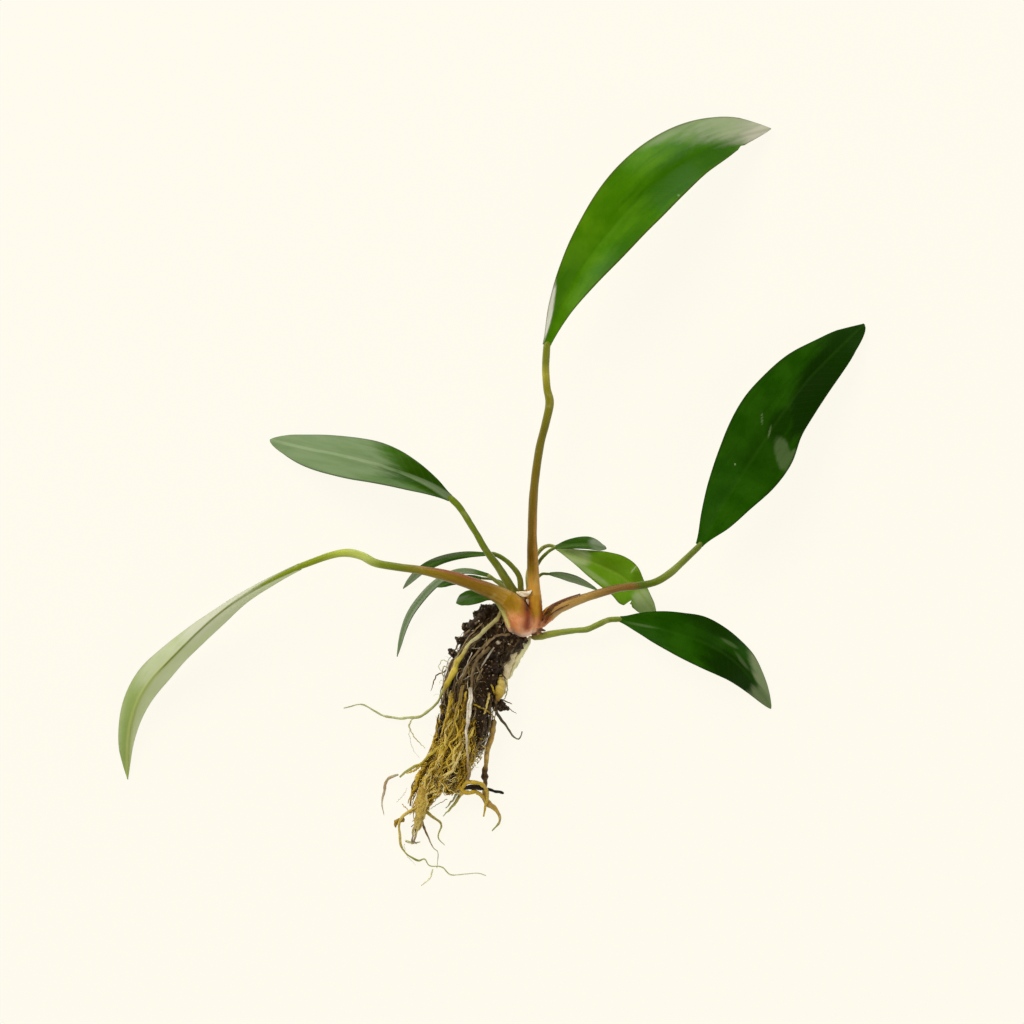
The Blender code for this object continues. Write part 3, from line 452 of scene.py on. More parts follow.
def leafMaterial(name, look):
    # wet, leathery leaf skin: the eye gets a mottled green, curved side veins, a midrib, a thin dark
    # margin, a painted sheen with ragged edges that greys the green (the wet skin's reflection painted
    # into its colour), near white where strongest (painted highlight), a lower flank painted lighter on
    # some leaves (painted light), and a clear waxy gloss (IOR 1.42)
    material, add = newMaterial(name)
    where = add("place")
    at = {key: add("attribute", attribute_name=key) for key in ("across", "along", "dark", "darkShare",
        "vein", "film", "paintedSheenShare", "under", "tipward", "edge")}
    mottle = add("noise", where, leafGrain["mottle"], 4.0)
    patches = add("noise", where, leafGrain["patches"], 2.0)
    stretched = add("vector", add("times", at["across"], leafGrain["streak"]),
        add("times", at["along"], leafGrain["streakLong"]))
    streaks = add("noise", stretched, 1.0, 4.0, 0.6)
    ragged = add("times", add("minus", streaks, 0.5), leafGrain["breakUp"])
    aside = add("size", at["across"])
    dark = add("times", add("ramp", add("plus", at["dark"], ragged), 0.15, 0.85), at["darkShare"])
    veinLine = add("ramp", add("sine", add("times", at["vein"], fullTurn)), 0.55, 1.0)
    # painted sheen: pale patches that paint the wet skin's reflection of the pale room into its colour
    film = add("times", add("ramp", add("plus", at["film"], ragged), 0.20, 0.78), at["paintedSheenShare"])
    film = add("times", film, add("ramp", streaks, 0.25, 0.65, 0.72, 1.0))
    film = add("times", film, add("ramp", at["under"], 0.2, 0.6, 1.0, 0.0))
    crease = add("times", add("ramp", aside, 0.4, 1.2, 1.0, 0.0), look.get("crease", 0))
    crease = add("times", crease, add("ramp", at["tipward"], 0.40, 0.60))
    ribWide = look.get("ribWide", 0.62)
    rib = add("over", aside, add("ramp", at["tipward"], 0.0, 0.30, 2.4, 1.0))
    rib = add("ramp", rib, ribWide * 0.35, ribWide, 1.0, 0.0)
    rib = add("times", rib, add("ramp", at["tipward"], *look.get("ribFade", (2, 3)), 1.0, 0.0))
    rib = add("times", rib, add("ramp", streaks, 0.3, 0.55, 0.55, 1.0))
    speck = add("times", add("ramp", add("cells", where, leafGrain["specks"]), 0.05, 0.09, 1.0, 0.0),
        add("ramp", add("noise", where, 90.0, 1.0), 0.54, 0.62))
    underRib = add("ramp", aside, 0.3, 0.9, 1.0, 0.0)
    under = add("blend", add("ramp", mottle, 0.3, 0.7, 0.0, 0.5), look["under"], look["lit"])
    under = layered(add, under, (add("times", underRib, 0.7), "#b5bf7a"),
        (add("times", veinLine, 0.25), look["main"]))
    colour = layered(add, look["main"],
        (add("ramp", mottle, 0.35, 0.68), look["lit"]),
        (add("ramp", patches, 0.45, 0.75, 0.0, 0.5), look["deep"]),
        (add("ramp", streaks, 0.5, 0.8, 0.0, 0.35), look["deep"]),
        (dark, look["deep"]),
        (add("times", veinLine, look["veins"]), look["rib"]),
        (film, look["film"]),
        # painted highlight: where the painted sheen is strongest it turns near white
        (add("ramp", film, 1.1, 1.6), "#f6f7e4"),
        # painted light: the lower flank, turned away from the lamps, is painted lighter
        (add("ramp", at["across"], -0.9, -0.1, look.get("paintedLightFlank", 0.0), 0.0), "#f0f8c8"),
        (crease, "#d6e08c"),
        (add("times", rib, look["ribShare"]), look["rib"]),
        (add("times", add("ramp", at["edge"], 0.93, 0.99), 0.6), look["margin"]),
        (add("times", speck, 0.5), "#b9c79a"),
        (add("ramp", at["under"], 0.4, 0.8), under))
    height = add("plus", add("times", veinLine, -0.5), add("times", add("noise", where, 700.0, 2.0), 0.35))
    relief = add("relief", height, 0.18, 0.00012)
    rough = add("plus", add("ramp", mottle, 0.3, 0.7, 0.24, 0.36), add("times", film, 0.10))
    skin = add("ShaderNodeBsdfPrincipled", {"Base Color": colour, "Roughness": rough, "IOR": 1.42,
        "Normal": relief, "Specular IOR Level": 0.14})
    glow = add("ShaderNodeBsdfTranslucent", {"Color": colour, "Normal": relief})
    both = add("ShaderNodeMixShader", {0: look["glow"], 1: skin, 2: glow})
    add("ShaderNodeOutputMaterial", {"Surface": both})
    return material


def planPatches(patches, x, y):
    # how far inside the nearest patch a point lies (0.5 on its edge), and that patch's strength
    inside = np.zeros_like(x)
    strength, weight = np.zeros_like(x), np.full_like(x, tiny)
    for centreX, centreY, long, short, turn, power, soft in patches:
        c, s = math.cos(math.radians(turn)), math.sin(math.radians(turn))
        u = ((x - centreX) * c + (y - centreY) * s) / long
        w = ((y - centreY) * c - (x - centreX) * s) / short
        here = np.clip(0.5 + (1.0 - np.sqrt(u * u + w * w)) / (2 * soft), 0.0, 1.0)
        strength += here ** 4 * power
        weight += here ** 4
        inside = np.maximum(inside, here)
    return inside, strength / weight


bladeValues = dict(thick=0.75, marginThick=0.32, keel=0.5, groove=0.15, grooveWide=0.8, bend=1.35,
    swell=0.06, wave=0.10, waveLength=19.0, veinGap=2.6, veinSlant=1.15, baseGap=0.45, blunt=0.8,
    rowsPerMm=1.5, strips=22, smallStrips=14)


def bladePath(leaf, count):
    last, before = np.array(leaf["stalk"][-1][:3]), np.array(leaf["stalk"][-2][:3])
    start = last + (last - before) / np.linalg.norm(last - before) * bladeValues["baseGap"]
    return evenSteps([start, *leaf["midrib"]], count)


def bladeWidths(leaf, shares):
    # half widths in mm; the last tenth draws in to the tip, bluntly or finely, and tears bite the margin
    widths = []
    for key, power in zip(("left", "right"), leaf.get("blunt", (bladeValues["blunt"],) * 2)):
        free = np.maximum(readList(leaf[key], np.minimum(shares, 0.9)), 0.15)
        widths.append(free * np.clip((1.0 - shares) / 0.1, 0.004, 1.0) ** power)
    for at, reach, depth, side in leaf.get("tears", ()):
        bite = 1.0 - depth * np.clip(1.0 - np.abs(shares - at) / reach, 0.0, 1.0) ** 0.8
        widths[0 if side < 0 else 1] *= bite
    return widths


def gridFaces(rows, columns):
    # rows of closed rings, skinned, with a face over each end
    faces = []
    for low in range(0, (rows - 1) * columns, columns):
        for j in range(columns):
            k = (j + 1) % columns
            faces.append((low + j, low + columns + j, low + columns + k, low + k))
    faces.append(tuple(range(columns)))
    faces.append(tuple((rows - 1) * columns + j for j in reversed(range(columns))))
    return faces


def blade(name, leaf):
    v = bladeValues
    length = pathLength(bladePath(leaf, 60))
    count = int(length * v["rowsPerMm"]) + 30
    centres = bladePath(leaf, count)
    shares = np.linspace(0.0, 1.0, count)
    rows = shares[:, None]
    along = directions(centres)
    side = unit(np.cross(along, up))
    strips = v["strips"] if name in bigLeaves else v["smallStrips"]
    steps = np.linspace(0.0, 1.0, strips + 1) ** 1.15
    a = np.concatenate([-steps[:0:-1], steps])[None, :]     # -1 at the left margin, 1 at the right
    size = np.abs(a)
    left, right = bladeWidths(leaf, shares)
    wide = np.where(a < 0, left[:, None], right[:, None])
    rises = [readList(leaf[key], shares)[:, None] for key in ("riseLeft", "riseRight")]
    offset = a * wide
    opening = np.sin(math.pi * np.clip(rows, 0.03, 0.97)) ** 0.5
    height = np.where(a < 0, *rises) * size ** v["bend"]
    height += leaf.get("swell", v["swell"]) * wide * np.sin(math.pi * size)
    groove = leaf.get("groove", v["groove"])
    height -= groove * opening * np.exp(-(offset / v["grooveWide"]) ** 2) * (1 - 0.6 * rows)
    seed = sum(map(ord, name)) % 17
    ripple = np.sin(fullTurn * (rows * length / v["waveLength"] + 0.13 * seed) + np.sign(a) * 1.1)
    height += v["wave"] * ripple * size ** 1.6 * opening * min(1.0, wide.max() / 6)
    top = centres[:, None, :] + side[:, None, :] * offset[..., None] + up * height[..., None]
    normal = unit(np.cross(np.gradient(top, axis=1), np.gradient(top, axis=0)))
    normal *= np.sign(normal[..., 2:3] + tiny)
    thick = v["thick"] + (v["marginThick"] - v["thick"]) * size
    thick = thick * np.minimum(1.0, 0.25 + wide / 1.6)
    keel = v["keel"] * opening * np.exp(-(offset / v["grooveWide"]) ** 2) * (1 - 0.5 * rows)
    bottom = top - normal * (thick + keel)[..., None]
    edgeOut = np.concatenate([-side[:, None, :], side[:, None, :]], axis=1)
    rim = (top[:, [0, -1]] + bottom[:, [0, -1]]) / 2 + edgeOut * 0.10
    ring = np.concatenate([top, rim[:, 1:], bottom[:, ::-1], rim[:, :1]], axis=1)
    across = np.concatenate([offset, right[:, None], offset[:, ::-1], -left[:, None]], axis=1)
    flat = np.zeros(len(a[0]))
    ringEdge = np.abs(np.concatenate([a[0], [1.0], a[0][::-1], [-1.0]]))
    ringUnder = np.concatenate([flat, [0.5], flat + 1.0, [0.5]])
    film, paintedSheenShare = planPatches(leaf["film"], ring[..., 0], ring[..., 1])
    dark, darkShare = planPatches(leaf["dark"], ring[..., 0], ring[..., 1])
    values = {"across": across, "along": rows * length + 31.0 * seed, "edge": ringEdge, "under": ringUnder,
        "tipward": rows, "vein": (rows * length - v["veinSlant"] * np.abs(across)) / v["veinGap"],
        "film": film, "paintedSheenShare": paintedSheenShare, "dark": dark, "darkShare": darkShare}
    values = {key: np.broadcast_to(item, across.shape).reshape(-1) for key, item in values.items()}
    return meshPiece("leafBlade_" + name, ring.reshape(-1, 3), gridFaces(count, ring.shape[1]),
        leafMaterials[leaf["look"]], values)


leafMaterials = {key: leafMaterial("wetLeafSkin_" + key, look) for key, look in leafLooks.items()}
bladePieces = {name: blade(name, leaf) for name, leaf in leaves.items()}
print("blades made")


# Stalks: fleshy, with colours that run from the crown to the blade

# stops give the colour along the stalk; flank is the colour of the side that faces flankWay, which
# comes in between the two shares of flankStart, where given, and fades out between those of flankSpan.
# On the tall, right and long_left stalks it is a red or golden tint of the skin; on the others it is
# painted light and shade, lighter on the side turned up and left, darker on the side turned right
stalkLooks = {
    "tall": dict(stops=[(0, "#b5703a"), (0.06, "#c89440"), (0.14, "#d09a3c"), (0.19, "#8a6a1c"),
        (0.23, "#6c4e0a"), (0.32, "#775c1c"), (0.46, "#7e6a1c"), (0.66, "#75701f"), (0.79, "#8f8c20"),
        (0.83, "#b3ab3c"), (0.87, "#7f8426"), (1, "#7c8a20")], flank="#bf8a36", flankShare=0.7,
        flankWay=(0.95, 0, 0.2), flankSpan=(0.3, 0.5)),
    "right": dict(stops=[(0, "#b5603c"), (0.08, "#d0a460"), (0.3, "#b08c44"), (0.42, "#8c6a34"),
        (0.53, "#84602a"), (0.575, "#546616"), (0.66, "#687a1a"), (0.76, "#83903a"), (0.86, "#6f7e28"),
        (1, "#5f7420")], flank="#63361a", flankShare=0.75, flankWay=(-0.4, 0.9, -0.45),
        flankSpan=(0.46, 0.58)),
    "upper_left": dict(stops=[(0, "#7c7624"), (0.3, "#6f7a1e"), (0.7, "#76881e"), (1, "#70881c")],
        flank="#455608", flankShare=0.5, flankWay=(0.8, 0.5, 0.1), flankSpan=(0.9, 1)),
    "long_left": dict(stops=[(0, "#b5603e"), (0.12, "#c4963a"), (0.17, "#b48c34"), (0.24, "#866618"),
        (0.33, "#87661a"), (0.45, "#917a20"), (0.57, "#77801f"), (0.63, "#86942a"), (0.69, "#c8d46e"),
        (0.77, "#b8c44e"), (0.86, "#8c9c22"), (1, "#84941c")], flank="#8c3c18", flankShare=0.9,
        flankWay=(0.25, 0.95, 0), flankSpan=(0.42, 0.54), flankStart=(0.2, 0.34)),
    "low_right": dict(stops=[(0, "#a8a04a"), (0.12, "#a4ac48"), (0.25, "#8f9c40"), (0.6, "#808e3a"),
        (0.8, "#7d8a32"), (1, "#6a7f1e")], flank="#a9b84e", flankShare=0.35, flankWay=(-0.2, 0.9, 0.4),
        flankSpan=(0.9, 1)),
    "small": dict(stops=[(0, "#7c7224"), (0.3, "#6f7520"), (1, "#546c1a")], flank="#8a9a34",
        flankShare=0.4, flankWay=(-0.2, 0.9, 0.4), flankSpan=(0.9, 1)),
    "sheathed": dict(stops=[(0, "#ece08c"), (0.5, "#f0ec90"), (0.8, "#c4c864"), (1, "#5c7024")],
        flank="#9a7c3c", flankShare=0.15, flankWay=(0.6, 0.4, 0.2), flankSpan=(0.9, 1)),
    "yellow": dict(stops=[(0, "#a8964a"), (0.4, "#a2a550"), (1, "#8a9a40")], flank="#c4c070",
        flankShare=0.5, flankWay=(-0.6, 0.6, 0.4), flankSpan=(0.9, 1)),
}
stalkKinds = {"small_dark": "small", "torn": "yellow", "narrow_right": "small", "back_left": "small",
    "droop_left": "yellow", "tip_left": "small", "stub_left": "sheathed"}
# shares of the stalks that are hidden in the crown's sheaths
stalkStarts = {"tall": 0.08, "long_left": 0.14, "right": 0.04, "stub_left": 0.24}


def stalkMaterial(name, look):
    # fleshy leaf stalk: the eye gets a colour that changes from base to blade, a flank colour on one side
    # (a red or golden tint of the skin on some stalks, painted light and painted shade on others), fine
    # lengthwise streaks and a moist gloss (IOR 1.40, roughness about 0.3)
    material, add = newMaterial(name)
    at = {key: add("attribute", attribute_name=key) for key in ("share", "around", "flank")}
    lengthwise = add("vector", add("times", at["around"], 9.0), add("times", at["share"], 5.0))
    streaks = add("noise", lengthwise, 3.0, 4.0)
    mottle = add("noise", add("place"), 240.0)
    colour = setStops(add("stops", at["share"]), look["stops"])
    colour = add("stain", add("ramp", streaks, 0.35, 0.7, 0.0, 0.22), colour, "#4e3d10")
    # the flank: a skin tint on some stalks, painted light and shade on others, by which way the side faces
    flank = add("ramp", at["flank"], 0.25, 0.85, 0.0, look["flankShare"])
    flank = add("times", flank, add("ramp", at["share"], *look["flankSpan"], 1.0, 0.0))
    flank = add("times", flank, add("ramp", at["share"], *look.get("flankStart", (-1, 0))))
    flank = add("times", flank, add("ramp", mottle, 0.2, 0.6, 0.6, 1.0))
    colour = layered(add, colour, (flank, look["flank"]),
        (add("ramp", mottle, 0.55, 0.8, 0.0, 0.22), "#d8cf8a"))
    coat(add, colour, add("relief", streaks, 0.3, 0.00025),
        {"Roughness": add("ramp", mottle, 0.3, 0.7, 0.24, 0.36), "IOR": 1.40})
    return material


def stalk(name, leaf):
    kind = stalkKinds.get(name, name)
    start = stalkStarts.get(name, 0.0)
    if kind not in stalkMaterials:
        stalkMaterials[kind] = stalkMaterial("fleshyStalk_" + kind, stalkLooks[kind])
    steps, reach, sides = (100, 9, 24) if name in bigLeaves else (40, 6, 14)
    stations = evenSteps(leaf["stalk"], steps)[int(start * steps):]
    share = np.linspace(start, 1.0, len(stations))
    radii = stations[:, 3] / 2 * (1 + 0.02 * np.sin(share * 34) + 0.015 * np.sin(share * 71 + 1))
    # the stalk runs on under the blade as its midrib, thinning out
    thin = np.linspace(0.92, 0.3, reach - 1) * radii[-1]
    drop = thin * (1.0 - leaf.get("tailLift", 0.0)) + 0.25
    tail = bladePath(leaf, 60)[1:reach] - up * drop[:, None]
    tubes = Tubes()

    def oval(at, turns):
        # a shallow channel along the upper side
        return 1.0 - 0.05 * np.cos(turns - math.pi / 2) ** 8 + 0.012 * np.sin(3 * turns + at * 9)
    tubes.add(np.vstack([stations[:, :3], tail]), np.concatenate([radii, thin]), sides=sides,
        flankWay=stalkLooks[kind]["flankWay"], oval=oval)
    tubes.values["share"] = [start + (1.0 - start) * value for value in tubes.values["share"]]
    return tubes.piece("leafStalk_" + name, stalkMaterials[kind])


stalkMaterials = {}
stalkPieces = {name: stalk(name, leaf) for name, leaf in leaves.items()}
for name in leaves:
    place(bladePieces[name], "leaf_green", "blade_" + name)
    place(stalkPieces[name], "stalk_olive", "stalk_" + name)
print("stalks made")


# Crown: the short rootstock, the clasping sheaths of its stalks and the scaly ring under them

# routes (x, y, z, radius) that are grown together into one smooth body
crownLobes = [
    [(10.6, -30, 7, 3), (10.8, -33.5, 7.2, 3.6), (10.8, -36.6, 7.2, 3.6), (10.6, -38.6, 7, 3)],
    [(4.6, -29.5, 20.3, 2.7), (6.9, -31.5, 19.2, 3.05), (8.5, -34, 17.6, 3.4), (9.5, -36.4, 14.8, 3.65),
        (9.9, -37.7, 12, 3.6), (10, -38.1, 9, 3.4)],
    [(13.3, -28.8, 13.2, 2.05), (13.5, -32.6, 13, 2.15), (13.5, -36.2, 11.6, 2.15), (13, -37.9, 9, 2.4)],
    [(20.5, -32.6, 13, 1.4), (18.4, -33.9, 11.2, 2), (16.2, -35.8, 9.6, 2.1), (13.6, -37.4, 8, 2.4)],
    [(15, -40.3, 7, 0.8), (13, -39.6, 7, 1.6)],
    [(4.6, -35.9, 11.8, 0.7), (6.2, -38.8, 11, 1), (8.4, -39.4, 9.6, 1.2)],
    [(6.2, -26.6, 13.4, 1.1), (8.4, -30.4, 11.6, 1.6), (10, -34, 9.8, 2)],
    [(12.3, -26.6, 8.8, 0.6), (12, -30.5, 8.2, 1.2)],
    [(11.6, -26.6, 6, 0.6), (11.4, -30.5, 6.4, 1.2)],
    [(8.9, -26.6, 9, 0.7), (9.8, -30.5, 8.4, 1.3)],
]
crownValues = dict(voxel=0.30, smoothing=9, grain=0.10)


def crownMaterial():
    # fleshy rootstock and clasping stalk bases: salmon below, golden above, wine-red stripes, a dark
    # cleft between the stalk bases (painted shade), fine lengthwise fibres, a pale pink band along its
    # lower end, slightly translucent flesh, moist gloss (IOR 1.40, roughness 0.3)
    material, add = newMaterial("rootstockSkin")
    where = add("place")
    at = {key: add("attribute", attribute_name=key) for key in ("olive", "gold", "wine", "cleft", "rim",
        "husk")}
    grain = add("noise", add("stretch", where, (1.0, 0.28, 0.6)), 1300.0)
    mottle = add("noise", where, 380.0)
    even = add("ramp", mottle, 0.3, 0.7)
    gold = add("blend", at["olive"], add("blend", even, "#c0942c", "#b88432"), "#94700f")
    husk = add("blend", add("ramp", mottle, 0.35, 0.65), "#4a2e1a", "#8a6a4c")
    # the last colour is painted shade in the cleft between the stalk bases
    colour = layered(add, "#ffb67e", (even, "#f69a5e"), (at["gold"], gold), (at["wine"], "#8a3208"),
        (at["cleft"], "#3c1810"))
    colour = add("stain", add("ramp", grain, 0.45, 0.7, 0.0, 0.18), colour, "#b87c40")
    colour = layered(add, colour, (at["rim"], "#e6bda4"), (at["husk"], husk))
    coat(add, colour, add("relief", grain, 0.35, 0.0002),
        {"Roughness": add("ramp", at["husk"], 0.0, 1.0, 0.28, 0.6), "IOR": 1.40, "Specular IOR Level": 0.22,
            "Subsurface Weight": 0.15, "Subsurface Radius": (0.0012, 0.0006, 0.0003),
            "Subsurface Scale": 1.0})
    return material


def readColumns(items, key, width):
    # numbers of a mesh's points, a row for each
    values = np.empty(len(items) * width)
    items.foreach_get(key, values)
    return values.reshape(-1, width)


def grownTogether(name, routes, voxel, smoothing):
    # joins overlapping tubes into one skin; gives its points in list mm, their normals and its faces
    tubes = Tubes()
    for route in routes:
        line = evenSteps(route, 24)
        tubes.add(line, line[:, 3], sides=20)
    rough = bpy.data.meshes.new(name + "Rough")
    rough.from_pydata([tuple(p) for p in tubes.points], [], tubes.faces)
    holder = addPiece(name + "Rough", rough)
    remesh = holder.modifiers.new("remesh", "REMESH")
    remesh.mode = "VOXEL"
    remesh.voxel_size = voxel
    soften = holder.modifiers.new("soften", "SMOOTH")
    soften.iterations = smoothing
    soften.factor = 0.6
    joined = bpy.data.meshes.new_from_object(holder.evaluated_get(bpy.context.evaluated_depsgraph_get()))
    points, normals = (readColumns(joined.vertices, key, 3) for key in ("co", "normal"))
    faces = [tuple(polygon.vertices) for polygon in joined.polygons]
    bpy.data.objects.remove(holder, do_unlink=True)
    bpy.data.meshes.remove(joined)
    bpy.data.meshes.remove(rough)
    return points, normals, faces


def softStep(low, high, values):
    t = np.clip((values - low) / (high - low), 0.0, 1.0)
    return t * t * (3 - 2 * t)


def nearLine(points, route, reach):
    # 1 on a route, falling softly to 0 at a distance, seen from above
    line = evenSteps(route, 40)
    gaps = np.linalg.norm(points[:, None, :2] - line[None], axis=2).min(axis=1)
    return np.exp(-(gaps / reach) ** 2)


# wine-red stretches of the crown seen from above: route, how far they reach, strength
wineLines = [([(16.0, -37.6), (17.6, -35.4)], 0.9, 0.6),
    ([(15.6, -31.0), (15.4, -34.0), (14.8, -37.8)], 0.9, 0.75)]


def crown():
    v = crownValues
    points, normals, faces = grownTogether("crown", crownLobes, v["voxel"], v["smoothing"])
    rough = np.array([noise.fractal(Vector(p) * 1.3, 0.6, 2.0, 3) for p in points])
    points = points + normals * (v["grain"] * rough)[:, None]
    x, y, z = points.T
    gold = softStep(-36.3, -32.4, y + 1.6 * softStep(12.0, 13.2, x) + 0.4 * rough)
    olive = 0.85 * softStep(9.5, 5.5, x + 0.35 * (y + 30.0)) * softStep(-35.0, -30.5, y)
    wine = 0.95 * nearLine(points, [(11.0, -31.5), (11.3, -35.0), (11.0, -38.2)], 1.5) * softStep(6, 8, z)
    for route, reach, strength in wineLines:
        wine = np.maximum(wine, strength * nearLine(points, route, reach))
    # painted shade: a dark line where the stalk bases meet
    cleft = 0.95 * nearLine(points, [(10.6, -29.6), (11.0, -31.0), (11.2, -32.8)], 0.55)
    ends = y + 0.3 * rough - 0.10 * (x - 10.0) ** 2 * (x < 14)
    husk = softStep(-40.9, -41.5, ends) * softStep(10.5, 8.5, z)
    scale = softStep(13.4, 14.4, x) * softStep(-38.4, -39.0, y) * softStep(-40.8, -40.0, y)
    husk = np.maximum(husk, 0.9 * scale)
    rim = 0.8 * softStep(-39.6, -40.5, ends) * (1 - husk) * softStep(15.0, 13.5, x)
    values = {"gold": gold, "olive": olive, "wine": wine * (1 - rim), "cleft": cleft, "rim": rim,
        "husk": husk}
    return meshPiece("crown", points, faces, crownMaterial(), values)


place(crown(), "crown_tan", "crown")


def flap(name, route, material, sides=8):
    # a thin dry scale: route points are (x, y, z, width, lean), each laid flat and slightly cupped
    line = evenSteps(route, 22)
    across = unit(np.cross(directions(line[:, :3]), up))
    steps = np.linspace(-1.0, 1.0, sides)
    top = line[:, None, :3] + across[:, None, :] * (steps[None, :, None] * line[:, None, 3:4] / 2)
    top = top + up * ((1 - steps ** 2)[None, :, None] * 0.25 + (steps[None, :] * line[:, 4:5])[..., None])
    ring = np.concatenate([top, (top - up * 0.12)[:, ::-1]], axis=1)
    return meshPiece(name, ring.reshape(-1, 3), gridFaces(len(line), ring.shape[1]), material, {})


def scaleMaterial(name, pale, dark):
    # papery dry leaf scale: pale membrane with brown fibres and frayed dark ends, matt
    material, add = newMaterial(name)
    fibres = add("noise", add("stretch", add("place"), (0.4, 1.0, 1.0)), 900.0, 4.0)
    colour = add("blend", add("ramp", fibres, 0.4, 0.7), pale, dark)
    coat(add, colour, add("relief", fibres, 0.4, 0.0002), {"Roughness": 0.5, "IOR": 1.45})
    return material


# the white membrane between the two tallest stalks, and the dry scales at the stalk bases
membrane = scaleMaterial("paleSheathMembrane", "#efe6cf", "#c9a878")
dryScale = scaleMaterial("dryBrownScale", "#7a4a2c", "#38200f")
scales = {
    "sheathMembrane": ([(7.8, -27.9, 17.2, 0.3, 0.1), (9, -28.3, 17, 1.3, 0.2),
        (10.4, -28.5, 16.6, 1.6, 0.2), (11.6, -28.1, 16, 1.1, 0.2), (12.4, -27.4, 15.6, 0.3, 0.1)],
        membrane),
    "sheathTuft": ([(11, -30, 14.6, 0.7, 0.2), (11.4, -30.9, 14.2, 0.9, 0.2),
        (11.5, -31.7, 13.6, 0.3, 0.1)], membrane),
    "sheathScaleRight": ([(15.6, -36.6, 12.6, 0.5, 0.3), (16.6, -34.4, 13.6, 0.8, 0.3),
        (18.8, -31.9, 14.6, 0.8, 0.2), (22.4, -30, 16.6, 0.6, 0.1), (26.8, -28.4, 18.2, 0.3, 0.1)],
        dryScale),
    "sheathFibre": ([(16.4, -37.4, 11.6, 0.2, 0.1), (18.2, -34.6, 13.6, 0.35, 0.1),
        (20.8, -32.8, 15.4, 0.3, 0.1), (23.4, -31.6, 16.6, 0.1, 0.1)], dryScale),
    "sheathScaleLow": ([(13.8, -38.6, 11, 0.7, 0.2), (15.2, -39.2, 9.6, 1, 0.2),
        (16.6, -39.6, 8.8, 0.4, 0.2)], dryScale),
}
for name, (route, material) in scales.items():
    place(flap(name, route, material), "crown_tan", "crown")
print("crown made")


# Root mass: a core of dark soil that thins out, wrapped and followed by many strands

# the middle line of the mass seen from above, (x, y, radius)
massRoute = [(2.2, -33, 1.4), (2.2, -35.2, 5.4), (-1, -42.6, 8), (-4.3, -51.3, 8.4), (-6.4, -59.4, 8.5),
    (-6.9, -66.5, 8.3), (-9.1, -73.4, 8.2), (-11.7, -78.1, 7.2), (-13.6, -83.2, 7.4), (-15.4, -90.1, 6.2),
    (-18.6, -94, 5.2), (-21.6, -99, 3.4), (-22.6, -103.4, 1.6)]
massValues = dict(flat=0.85, tall=0.95)
massFine = evenSteps([(x, y, 0.0, r) for x, y, r in massRoute], 240)
massSide = np.cross(directions(massFine[:, :3]), up)


def massPoint(share, angle, depth):
    # a point at a share of the root mass's length, around its axis, depth 1 being its skin
    at = np.clip(np.asarray(share, dtype=float), 0.0, 1.0) * (len(massFine) - 1)
    i = np.minimum(at.astype(int), len(massFine) - 2)
    t = (at - i)[..., None]
    axis, side = (line[i] * (1 - t) + line[i + 1] * t for line in (massFine, massSide))
    radius = axis[..., 3:4]
    centre = np.concatenate([axis[..., :2], radius * massValues["flat"]], axis=-1)
    reach = radius * np.asarray(depth)[..., None]
    over = up * reach * massValues["tall"] * np.sin(angle)[..., None]
    return centre + side * reach * np.cos(angle)[..., None] + over


# where the soil lies bare and black: routes seen from above, and how far they reach
bareSoil = [([(2.6, -43), (1, -48), (0.4, -52), (-0.6, -56.6)], 3.2), ([(-12.9, -60), (-13.4, -64.5),
    (-14.2, -70)], 1), ([(-0.5, -34), (-4, -37.2), (-8.4, -42), (-10.6, -46)], 1.5), ([(-0.5, -40.5),
    (-4.5, -44.5), (-7.6, -50)], 1.1), ([(-3, -59), (-2.6, -64), (-3, -69)], 1.3)]


def bareness(points):
    # 1 on a patch of bare soil, 0 away from all of them
    return np.max([nearLine(points, *patch) for patch in bareSoil], axis=0)


def nearestMass(x, y):
    # the step of the mass's axis nearest to a point seen from above
    return int(np.argmin((massFine[:, 0] - x) ** 2 + (massFine[:, 1] - y) ** 2))


def massTop(x, y):
    # height of the mass's upper skin over a point of the floor
    axisX, axisY, _, ball = massFine[nearestMass(x, y)]
    gap = min(1.0, math.dist((x, y), (axisX, axisY)) / ball)
    return ball * (massValues["flat"] + massValues["tall"] * math.sqrt(1 - gap * gap))


def withinMass(points, reach):
    # draws points that lie outside the mass, seen from above, back to a share of its radius
    steps = [nearestMass(x, y) for x, y in points[:, :2]]
    away = points[:, :2] - massFine[steps, :2]
    shrink = np.minimum(1.0, reach * massFine[steps, 3] / np.maximum(np.linalg.norm(away, axis=1), 1e-6))
    return np.column_stack([massFine[steps, :2] + away * shrink[:, None], points[:, 2]])


soilValues = dict(voxel=0.42, smoothing=2, lump=0.55, fine=0.28, seed=3, clods=75, end=0.70,
    smallClod=0.9, largeClod=2.3)

